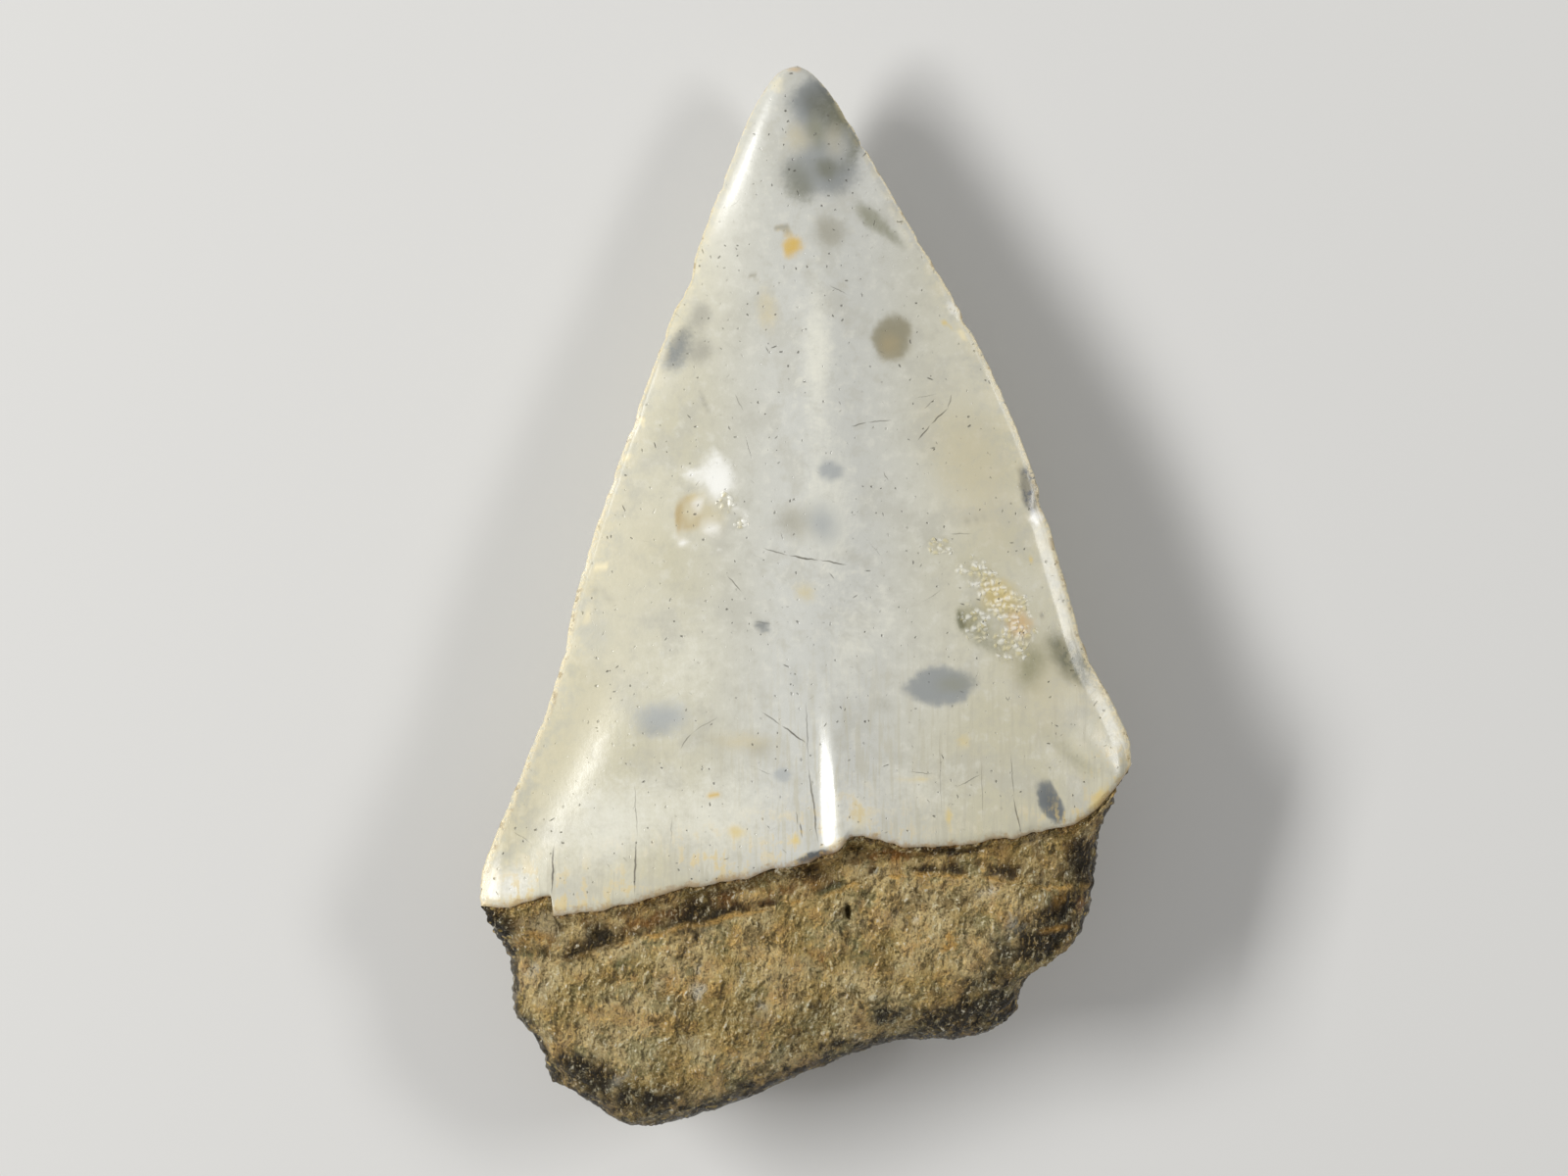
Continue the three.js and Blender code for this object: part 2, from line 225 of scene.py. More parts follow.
sag = enamel_sag(on_lip)
crown_plan = lerp(left_edge.at(f), right_edge.at(f), s[:, None])
crown_plan += sag * (f ** SAG_FADE["crown"])[:, None]
crown_plan[:, 1] += flaked * f ** FLAKE_FADE["crown"]
foot_bow = root_foot.at(s) - lerp(left_side.at(1.0), right_side.at(1.0), s[:, None])
root_plan = lerp(left_side.at(g), right_side.at(g), s[:, None])
root_plan += sag * ((1 - g) ** SAG_FADE["root"])[:, None] + foot_bow * g[:, None]
root_plan[:, 1] += flaked * (1 - g) ** FLAKE_FADE["root"]
plan = np.where(in_crown[:, None], crown_plan, root_plan)

near_edge = np.abs(across) ** 24 * in_crown
edge_loss = sum(
    depth * wavering(plan[:, 1] + shift_y * np.sign(across), pitch, seed)
    for depth, pitch, seed, shift_y in EDGE_WAVES
)
for nick_y, side, depth, length in EDGE_NICKS:
    on_side = np.sign(across) == side
    edge_loss += depth * on_side * bell((plan[:, 1] - nick_y) / length)
plan[:, 0] -= np.sign(across) * edge_loss * near_edge * smoothstep(f, 0.02, 0.08)
x, y = plan[:, 0], plan[:, 1]

# ---- tooth: how high the skin lies -------------------------------------------------------------
# The lip side of the blade is almost flat, with a sharp fold, side troughs and a low crest, and
# the tongue side is domed. The enamel stands proud of the root, and the root carries a ledge on
# the lip side and a thick two-lobed swelling on the tongue side.

CROWN_LIP_BULGE = {"tip": 0.14, "base": 0.05}
TIP_SKEW = 0.25  # the crown is highest left of its middle near the tip
TIP_SHARE = 0.4  # of the crown, from the tip down
CROWN_TONGUE_BULGE = {"tip": 0.42, "base": 0.19}
ENAMEL_STEP = 0.28
ENAMEL_LIP = {"drop": 0.12, "length": 0.012}  # the enamel's edge is rounded over
NECK = {"recess": 0.25, "at": 0.07, "length": 0.07}
BAND_RECESS = 0.24
LEDGE_WIDTH = 0.2
ROOT_EDGE_HEIGHT = -2.3
ROOT_LIP_HEIGHT = 0.95
ROOT_LIP_FALL = 0.6
TORUS_DEPTH = {"left": 6.55, "right": 6.36}
TORUS_AT = 0.36
TORUS_LENGTH = 0.36
LOBE_DEPTH = 4.3
LOBE = {"spread": 0.42, "width": 0.55}
NUTRIENT_HOLLOW = {"depth": 0.4, "width": 0.22}
LUMP_HEIGHT = 0.1
LUMP_PITCH = 1.9
FOLD = {"top": (0.6, -2.6), "foot": (1.05, -10.1), "rise": 0.44, "run_out": 2.4,
        "width": {"top": 0.4, "foot": 1.0}}
GROOVES = [  # a depth below zero is a ridge
    {"from": (-6.9, -1.2), "to": (-11.4, -10.4), "width": 1.35, "depth": 0.27},
    {"from": (-5.6, -3.4), "to": (-10.6, -10.6), "width": 1.3, "depth": -0.12},
    {"from": (9.0, -4.6), "to": (11.2, -7.2), "width": 0.7, "depth": 0.17},
    {"from": (8.6, -3.6), "to": (12.1, -6.8), "width": 0.65, "depth": -0.15},
]
GROOVE_RUN_IN = 0.55
EDGE_ROUNDING = {  # the cutting edges slope off, widely low on the right and at the left corner
    "height": {"narrow": 0.03, "left": 0.18, "right": 0.11}, "width": {"narrow": 0.3, "wide": 0.8},
    "left": (-8.8, -11.2), "right": (4.4, 2.8), "steepening": 1.25,
}
CREST = {"at": 0.6, "height": 0.22, "width": 1.7}
PITS = [  # x, y, half width, half height, depth
    (1.69, -12.4, 0.15, 0.27, 0.9), (-7.85, -13.3, 0.5, 0.42, 0.2), (-9.0, -14.2, 0.34, 0.3, 0.14),
    (4.2, -12.6, 0.22, 0.5, 0.12), (-4.2, -11.95, 0.4, 0.3, 0.1),
]


def along_line(groove):
    """How near each point lies to a groove's line, fading out sideways and towards its start."""
    a = np.array(groove["from"])
    run = np.array(groove["to"]) - a
    way = np.clip((plan - a) @ run / (run @ run), 0, 1)
    off = np.linalg.norm(plan - a - way[:, None] * run, axis=1) / groove["width"]
    return bell(off) * smoothstep(way, 0, GROOVE_RUN_IN)


def fold_rise():
    down = np.clip((FOLD["top"][1] - y) / (FOLD["top"][1] - FOLD["foot"][1]), 0, 1)
    off = x - lerp(FOLD["top"][0], FOLD["foot"][0], down)
    half = lerp(FOLD["width"]["top"], FOLD["width"]["foot"], down) / 2
    step = (smoothstep(off, -half, half) + np.clip(off / half / 2 + 0.5, 0, 1)) / 2
    run_out = np.exp(-np.maximum(off - half, 0) / FOLD["run_out"])
    return FOLD["rise"] * smoothstep(down, 0, 0.85) * step * run_out


def edge_rounding(width):
    left_wide = smoothstep(y, *EDGE_ROUNDING["left"])
    right_wide = smoothstep(y, *EDGE_ROUNDING["right"])
    narrow = EDGE_ROUNDING["height"]["narrow"]
    left_height = lerp(narrow, EDGE_ROUNDING["height"]["left"], left_wide)
    right_height = lerp(narrow, EDGE_ROUNDING["height"]["right"], right_wide)
    height = lerp(left_height, right_height, smoothstep(s, 0.1, 0.9))
    narrow, wide = EDGE_ROUNDING["width"]["narrow"], EDGE_ROUNDING["width"]["wide"]
    reach = lerp(narrow, wide, np.where(across < 0, left_wide, right_wide))
    inside = np.clip((1 - np.abs(across)) * width / 2 / reach, 0, 1)
    return height * (1 - (1 - inside) ** EDGE_ROUNDING["steepening"])


def crown_lip_height(width, way):
    near_tip = 1 - smoothstep(way, 0, TIP_SHARE)
    bulge = width * lerp(CROWN_LIP_BULGE["base"], CROWN_LIP_BULGE["tip"], near_tip)
    skewed = np.abs(across + TIP_SKEW * near_tip * (1 - across**2))
    crest = CREST["height"] * bell((x - CREST["at"]) / CREST["width"]) * smoothstep(way, 0.1, 0.4)
    grooves = sum(groove["depth"] * along_line(groove) for groove in GROOVES)
    relief = (1 - np.abs(across) ** 8) * (crest + fold_rise() - grooves)
    return bulge * (1 - skewed**2.4) + edge_rounding(width) + relief


def crown_tongue_height(width, way):
    bulge = width * lerp(CROWN_TONGUE_BULGE["tip"], CROWN_TONGUE_BULGE["base"], way)
    return -bulge * np.clip(1 - across**2, 0, 1) ** 0.9


def rounding(sides, foot):
    return np.sqrt(np.clip((1 - np.abs(across) ** sides) * (1 - g**foot), 0, 1))


def root_lumps():
    u = 2 * math.pi * x / LUMP_PITCH
    v = 2 * math.pi * y / LUMP_PITCH
    wave = np.sin(0.8 * u + 0.9 * np.sin(0.45 * v)) * np.sin(0.7 * v + 1.1 * np.sin(0.4 * u))
    return LUMP_HEIGHT * wave * (1 - across**6) * smoothstep(g, 0.02, 0.2) * (1 - g**6)


crown_width = np.linalg.norm(left_edge.at(f) - right_edge.at(f), axis=1)
base_width = math.dist(LEFT_CORNER, RIGHT_CORNER)
edge_drop = ENAMEL_LIP["drop"] * smoothstep(f, 1 - ENAMEL_LIP["length"], 1) ** 2
edge_drop = edge_drop * (1 - np.abs(across) ** 12)
crown_lip = crown_lip_height(crown_width, f) - edge_drop
crown_tongue = crown_tongue_height(crown_width, f) + edge_drop

root_edge = ROOT_EDGE_HEIGHT * smoothstep(g, 0, 0.3)
ledge_y = ledge_height(x)
in_band = smoothstep(y, ledge_y - LEDGE_WIDTH / 2, ledge_y + LEDGE_WIDTH / 2)
lip_start = crown_lip_height(base_width, 1.0) - ENAMEL_STEP * (1 - np.abs(across) ** 12)
lip_flat = ROOT_LIP_HEIGHT - ROOT_LIP_FALL * g**2
lip_face = (lip_flat - root_edge) * rounding(9, 7)
root_lip = root_edge + lerp(lip_start, lip_face, smoothstep(g, 0, 0.1)) + root_lumps()
root_lip -= BAND_RECESS * in_band * smoothstep(g, 0.01, 0.06) * (1 - np.abs(across) ** 8)
for pit_x, pit_y, half_width, half_height, depth in PITS:
    root_lip -= depth * bell(np.hypot((x - pit_x) / half_width, (y - pit_y) / half_height) ** 2)

tongue_start = crown_tongue_height(base_width, 1.0) + ENAMEL_STEP * (1 - across**4)
swell = bell((g - TORUS_AT) / TORUS_LENGTH)
hollow = NUTRIENT_HOLLOW["depth"] * bell(across / NUTRIENT_HOLLOW["width"]) * swell
lobes = bell((np.abs(across) - LOBE["spread"]) / LOBE["width"])
thickest = lerp(TORUS_DEPTH["left"], TORUS_DEPTH["right"], smoothstep(across, -0.3, 0.3))
torus = lerp(LOBE_DEPTH, thickest, swell * lobes) - hollow
neck = NECK["recess"] * bell((g - NECK["at"]) / NECK["length"]) * (1 - across**2)
tongue_face = (torus + root_edge) * rounding(4, 5)
root_tongue = root_edge + lerp(tongue_start, -tongue_face, smoothstep(g, 0, 0.32))
root_tongue += neck - root_lumps()

lip_height = np.where(in_crown, crown_lip, root_lip)
tongue_height = np.where(in_crown, crown_tongue, root_tongue)
z = np.where(on_lip, lip_height, tongue_height)

# ---- tooth: closing the skin and roughening the root -------------------------------------------
# The root is worn bone: fine upright fibres and grains, small pits, and a ragged outline. The
# enamel keeps only a trace of growth lines close to its lower edge.

MERGE_WITHIN = 0.004
CROWN_LENGTH = 33  # about, as is the root's
ROOT_LENGTH = 9
FIBRE_LEAN = 0.12
FIBRE_GRAINS = [(0.055, (5.5, 2.2, 4), 0), (0.04, (11, 5, 9), 7)]  # height, per mm, shift
BONE_WEAR = [(0.09, (1.3, 1.1, 1.2), 3)]
RIM_WEAR = [(0.14, (1.9, 1.9, 1.4), 0), (0.12, (4.2, 4.2, 3), 9)]
RIM_GROWTH = 0.04
FULLY_ROUGH_FROM = 0.35  # below the enamel's edge
GROWTH_LINES = {"height": 0.006, "reach": 7, "per_mm": (3.2, 0.25), "seed": 4}

below_enamel = np.where(in_crown, (f - 1) * CROWN_LENGTH, g * ROOT_LENGTH)  # crown below zero
lip_share = np.where(on_lip, 1.0, 0.0)
lip_share[np.abs(across) > 0.9999] = 0.5
for vert, px, py, pz, below, out, lip in zip(
    tooth_mesh.verts, x, y, z, below_enamel, across, lip_share
):
    vert.co = (px, py, pz)
    vert[grown] = (below, out, lip)
bmesh.ops.remove_doubles(tooth_mesh, verts=tooth_mesh.verts, dist=MERGE_WITHIN)
bmesh.ops.recalc_face_normals(tooth_mesh, faces=tooth_mesh.faces)
tooth_mesh.normal_update()


def grain_at(place, layers):
    """The height of some layers of noise at a point."""
    total = 0
    for height, per_mm, shift_z in layers:
        scaled = [p * n for p, n in zip(place, per_mm)]
        total += height * noise.noise(Vector((scaled[0], scaled[1], scaled[2] + shift_z)))
    return total


def root_grain(place, below, out):
    """Fibres and wear, with the rim worn more than the faces."""
    leaning = (place.x + FIBRE_LEAN * place.y, place.y, place.z)
    fibres = grain_at(leaning, FIBRE_GRAINS) + grain_at(place, BONE_WEAR)
    worn_rim = (grain_at(place, RIM_WEAR) + RIM_GROWTH) * abs(out) ** 6
    return (fibres + worn_rim) * min(below / FULLY_ROUGH_FROM, 1)


def growth_line(place, below, out):
    """Faint upright lines in the enamel, close to its lower edge."""
    near_base = max(0.0, 1 + below / GROWTH_LINES["reach"])
    across_per_mm, along_per_mm = GROWTH_LINES["per_mm"]
    sample = (place.x * across_per_mm, place.y * along_per_mm, GROWTH_LINES["seed"])
    return GROWTH_LINES["height"] * near_base * noise.noise(Vector(sample)) * (1 - abs(out) ** 6)


moves = []
for vert in tooth_mesh.verts:
    below, out, _ = vert[grown]
    raised = root_grain if below > 0 else growth_line
    moves.append(vert.normal * raised(vert.co, below, out))
for vert, move in zip(tooth_mesh.verts, moves):
    vert.co += move

own = np.array([v.co for v in tooth_mesh.verts])
grown_values = np.array([v[grown] for v in tooth_mesh.verts])
bmesh.ops.rotate(tooth_mesh, verts=tooth_mesh.verts, cent=(0, 0, 0), matrix=LAID_DOWN)
bmesh.ops.scale(tooth_mesh, verts=tooth_mesh.verts, vec=(MM, MM, MM))
low_cad, high_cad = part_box("tooth")
co = np.array([v.co for v in tooth_mesh.verts])
shift = Vector((low_cad + high_cad) / 2 - Vector((co.min(0) + co.max(0)) / 2))
shift.z = low_cad.z - co[:, 2].min()
bmesh.ops.translate(tooth_mesh, verts=tooth_mesh.verts, vec=shift)

ENAMEL_FACE = 0
ROOT_FACE = 1
for face in tooth_mesh.faces:
    below_edge = max(vert[grown][0] for vert in face.verts)
    face.material_index = ROOT_FACE if below_edge > 0 else ENAMEL_FACE
tooth_data = bpy.data.meshes.new("fossil_tooth")
tooth_mesh.to_mesh(tooth_data)
tooth_mesh.free()
tooth_data.polygons.foreach_set("use_smooth", [True] * len(tooth_data.polygons))
fossil_tooth = bpy.data.objects.new("fossil_tooth", tooth_data)
bpy.context.scene.collection.objects.link(fossil_tooth)

# ---- tooth: stains and painted light -----------------------------------------------------------
# Minerals in the ground stained the enamel in soft clouds of grey, olive and ochre, and left the
# root patched with black and tan. Among them lie painted light and shade: a painted shadow above
# the root's ledge, a painted highlight along the ledge's edge, and painted glints on a few spots of
# enamel and root. They lie on the lip side, and fade at their edges.

# Besides stains, the near-black tint also paints the shadow above the root's ledge, and the chalky
# tint, two white spots on the enamel and one cream spot on the root paint glints.
TINTS = {
    "mist": (227, 225, 210), "white": (244, 243, 236), "cream": (236, 224, 186),
    "bone": (208, 201, 173), "sand": (200, 190, 158), "straw": (216, 194, 128),
    "honey": (212, 170, 96), "amber": (208, 174, 88), "peach": (216, 182, 132),
    "tan": (182, 162, 118), "taupe": (163, 160, 145), "dove": (168, 171, 169),
    "ash": (148, 151, 149), "olive": (142, 141, 120), "drab": (146, 140, 117),
    "moss": (104, 103, 78), "slate": (112, 116, 116), "steel": (80, 84, 86),
    "brown": (116, 88, 48), "soot": (24, 20, 12), "coal": (58, 50, 32),
    "clay": (166, 150, 112), "lichen": (112, 112, 74), "rust": (132, 88, 40),
    "chalk": (206, 200, 178), "ochre": (186, 140, 66),
}
ENAMEL_STAINS = [  # x, y, half width, half height, turn in degrees, tint, strength, softness
    (-8.9, -5.6, 1.5, 5.6, -27, "bone", 0.7, 0.9),
    (-7.0, 1.6, 2.2, 4.8, -22, "bone", 0.6, 1.0),
    (6.6, 5.0, 2.6, 5.4, 22, "sand", 0.6, 1.0),
    (9.4, -3.6, 2.2, 3.4, 25, "sand", 0.5, 1.0),
    (0.5, 9.6, 0.95, 4.2, 0, "mist", 0.7, 1.0),
    (0.9, 3.4, 1.6, 4.2, 0, "mist", 0.6, 1.0),
    (1.7, -2.4, 1.2, 2.8, 0, "mist", 0.5, 1.0),
    (1.9, -8.8, 1.2, 1.8, 0, "mist", 0.6, 1.0),
    (-4.6, -2.8, 2.0, 3.0, -20, "mist", 0.45, 1.0),
    (3.0, -0.8, 1.5, 2.2, 0, "mist", 0.4, 1.0),
    (-7.8, -9.0, 3.4, 2.4, 40, "mist", 0.7, 1.0),
    (-11.6, -11.4, 1.4, 1.2, 0, "white", 0.6, 1.0),
    (-3.4, -8.6, 3.6, 2.6, 0, "mist", 0.65, 1.0),
    (4.4, -7.6, 3.4, 1.9, 0, "mist", 0.4, 1.0),
    (0.45, 19.2, 1.5, 1.3, -30, "ash", 0.95, 0.8),
    (0.9, 17.6, 1.7, 2.2, 0, "ash", 0.8, 0.8),
    (0.2, 16.5, 1.6, 1.2, 0, "ash", 0.75, 0.9),
    (0.7, 19.4, 1.3, 1.0, -20, "slate", 0.95, 1.0),
    (1.4, 18.8, 0.9, 1.0, -30, "moss", 0.9, 1.0),
    (0.75, 19.3, 0.9, 0.7, -20, "moss", 0.55, 1.0),
    (0.45, 18.3, 0.5, 0.9, 10, "olive", 0.8, 0.9),
    (-0.35, 17.95, 0.7, 0.7, 0, "sand", 0.5, 0.9),
    (1.15, 17.9, 0.5, 0.8, 0, "sand", 0.35, 0.9),
    (2.0, 17.9, 0.4, 1.4, -20, "moss", 0.65, 0.9),
    (1.6, 16.4, 1.1, 0.8, 10, "slate", 0.45, 1.0),
    (0.9, 16.8, 0.7, 0.5, 0, "moss", 0.6, 0.9),
    (-0.3, 16.1, 0.8, 1.2, 18, "moss", 0.5, 0.9),
    (-0.4, 20.75, 0.6, 0.22, 0, "peach", 0.6, 0.9),
    (-1.1, 20.1, 0.4, 0.5, -20, "cream", 0.5, 0.9),
    (0.98, 14.28, 1.05, 0.95, 0, "taupe", 0.8, 0.9),
    (2.5, 15.0, 1.0, 0.5, -42, "olive", 0.8, 1.0),
    (3.2, 14.3, 1.4, 0.42, -42, "olive", 0.8, 1.0),
    (-0.85, 14.45, 0.4, 0.22, -20, "taupe", 0.85, 0.6),
    (-0.5, 13.75, 0.56, 0.66, 0, "amber", 0.9, 0.9),
    (-2.0, 12.55, 0.22, 0.22, 0, "taupe", 0.75, 0.6),
    (-1.45, 11.2, 0.65, 1.4, 5, "sand", 0.65, 1.0),
    (-4.15, 11.0, 0.6, 0.9, -20, "taupe", 0.8, 0.9),
    (-5.05, 9.6, 0.75, 1.15, -20, "slate", 0.8, 0.9),
    (-4.75, 10.3, 0.35, 0.5, -20, "steel", 0.3, 0.9),
    (-4.1, 9.6, 0.7, 0.8, 0, "taupe", 0.85, 0.9),
    (-3.95, 7.6, 0.22, 0.85, 25, "taupe", 0.6, 0.8),
    (3.46, 10.15, 0.95, 1.22, -14, "drab", 0.97, 0.5),
    (3.35, 9.8, 0.5, 0.6, -14, "tan", 0.35, 0.9),
    (5.1, 13.4, 0.16, 0.6, 27, "amber", 0.6, 0.8),
    (5.5, 10.75, 0.4, 0.14, -25, "straw", 0.8, 0.7),
    (6.3, 10.3, 0.4, 0.2, -45, "cream", 0.85, 0.7),
    # A painted glint on the right edge, in white.
    (5.85, 11.4, 0.4, 0.45, -30, "white", 0.6, 0.8),
    (1.05, 4.95, 0.6, 0.55, 0, "dove", 0.95, 0.6),
    (-0.5, 2.9, 1.3, 1.0, 0, "taupe", 0.75, 1.0),
    (0.75, 2.85, 0.8, 1.1, 20, "dove", 0.85, 1.0),
    (6.8, 3.1, 0.62, 0.14, 14, "taupe", 0.85, 0.7),
    (8.95, 4.2, 0.5, 1.2, 15, "steel", 0.97, 0.5),
    # A painted glint below the dark chip on the right edge, in white.
    (9.15, 3.05, 0.35, 0.3, 0, "white", 0.9, 0.5),
    (8.9, 1.4, 0.17, 0.13, 0, "straw", 0.9, 0.7),
    (-4.0, 3.1, 1.2, 1.0, 0, "sand", 0.75, 0.8),
    (-4.6, 3.3, 0.55, 0.9, 8, "tan", 0.85, 0.6),
    (-4.5, 3.3, 0.34, 0.6, 8, "bone", 0.75, 0.7),
    (-4.95, 3.0, 0.16, 0.7, 8, "tan", 0.8, 0.9),
    (-4.3, 4.05, 0.4, 0.2, 10, "straw", 0.4, 0.9),
    (-3.5, 4.75, 1.0, 0.85, 25, "white", 0.85, 0.9),
    (-3.3, 4.2, 0.6, 0.7, 0, "white", 0.85, 0.9),
    (-4.4, 4.75, 0.6, 0.45, 0, "white", 0.65, 1.0),
    (-3.6, 5.5, 0.5, 0.5, 20, "white", 0.6, 1.0),
    (-4.2, 3.6, 0.3, 0.34, 0, "white", 0.6, 0.9),
    (-3.65, 2.6, 0.5, 0.4, 0, "white", 0.7, 1.0),
    (-2.25, 2.95, 0.3, 0.5, 10, "white", 0.65, 0.9),
    (-2.75, 3.4, 0.3, 0.24, 0, "white", 0.5, 0.9),
    (-4.8, 2.2, 0.42, 0.18, 0, "white", 0.8, 0.8),
    (-3.3, 1.9, 0.2, 0.2, 0, "white", 0.5, 0.9),
    (0.0, 0.1, 0.65, 0.5, -30, "sand", 0.75, 0.9),
    (-6.45, 6.8, 0.26, 0.2, 0, "cream", 0.9, 0.5),
    (-6.95, 5.5, 0.2, 0.32, -20, "cream", 0.9, 0.5),
    (-8.0, 1.15, 0.28, 0.2, 0, "cream", 0.95, 0.4),
    (-8.5, -0.9, 0.18, 0.3, -20, "cream", 0.8, 0.6),
    (-8.0, 0.05, 0.7, 0.2, -8, "taupe", 0.65, 0.8),
    (-8.3, -1.4, 0.9, 0.9, 0, "dove", 0.35, 0.9),
    (-9.95, -4.3, 0.14, 0.6, -20, "brown", 0.5, 0.8),
    (-1.65, -1.15, 0.42, 0.36, -30, "slate", 0.7, 0.7),
    (-5.7, -4.8, 1.5, 0.85, 5, "dove", 0.85, 0.9),
    (-5.9, -5.4, 0.8, 0.4, 0, "ash", 0.4, 0.9),
    (-3.9, -5.6, 1.2, 0.5, -10, "taupe", 0.4, 0.9),
    (-2.3, -5.7, 1.7, 0.6, -5, "sand", 0.6, 0.9),
    (-1.7, -6.1, 0.8, 0.5, 0, "taupe", 0.45, 0.9),
    (-0.9, -7.0, 0.45, 0.45, 0, "dove", 0.8, 0.7),
    (-0.35, -3.2, 0.45, 1.1, 0, "dove", 0.4, 0.9),
    (-3.55, -7.75, 0.28, 0.16, 0, "amber", 0.8, 0.6),
    (-2.7, -9.25, 0.45, 0.3, 0, "straw", 0.7, 0.9),
    (-0.35, -9.55, 0.25, 0.25, 0, "straw", 0.8, 0.8),
    (5.3, -3.57, 1.6, 0.86, 4, "ash", 0.95, 0.4),
    (5.95, -3.4, 0.9, 0.4, 4, "olive", 0.5, 0.9),
    (3.1, -4.3, 0.8, 0.42, -25, "taupe", 0.5, 0.9),
    (6.6, -1.0, 1.0, 1.0, 0, "lichen", 0.6, 1.0),
    (6.15, -1.0, 0.25, 0.45, 0, "moss", 0.85, 0.8),
    (7.6, 0.0, 1.2, 0.8, -40, "straw", 0.85, 0.9),
    (7.3, -1.9, 1.0, 0.6, -30, "olive", 0.6, 1.0),
    (8.4, -1.1, 0.65, 0.75, -30, "peach", 0.85, 0.8),
    (8.9, -2.7, 0.8, 1.2, -15, "lichen", 0.55, 1.0),
    (10.3, -2.4, 0.75, 1.4, 30, "moss", 0.95, 0.8),
    (10.9, -3.0, 0.5, 0.8, 30, "moss", 0.8, 0.8),
    (9.35, -0.8, 0.15, 0.14, 0, "taupe", 0.9, 0.6),
    (10.8, -6.5, 1.7, 0.5, -40, "olive", 0.45, 1.0),
    (11.5, -8.0, 0.4, 0.8, -40, "straw", 0.85, 0.9),
    (9.65, -8.1, 0.48, 1.15, 24, "slate", 0.97, 0.45),
    (9.7, -8.2, 0.24, 0.7, 26, "steel", 0.4, 0.8),
    (6.2, -5.7, 0.35, 0.5, 0, "straw", 0.5, 0.9),
    (4.4, -7.1, 0.9, 0.15, 5, "straw", 0.45, 0.9),
    (5.6, -8.7, 0.2, 0.6, 0, "straw", 0.8, 0.8),
    (2.1, -8.6, 0.3, 0.9, 0, "straw", 0.4, 0.9),
    (0.45, -10.25, 0.95, 0.32, 6, "steel", 0.9, 0.5),
]
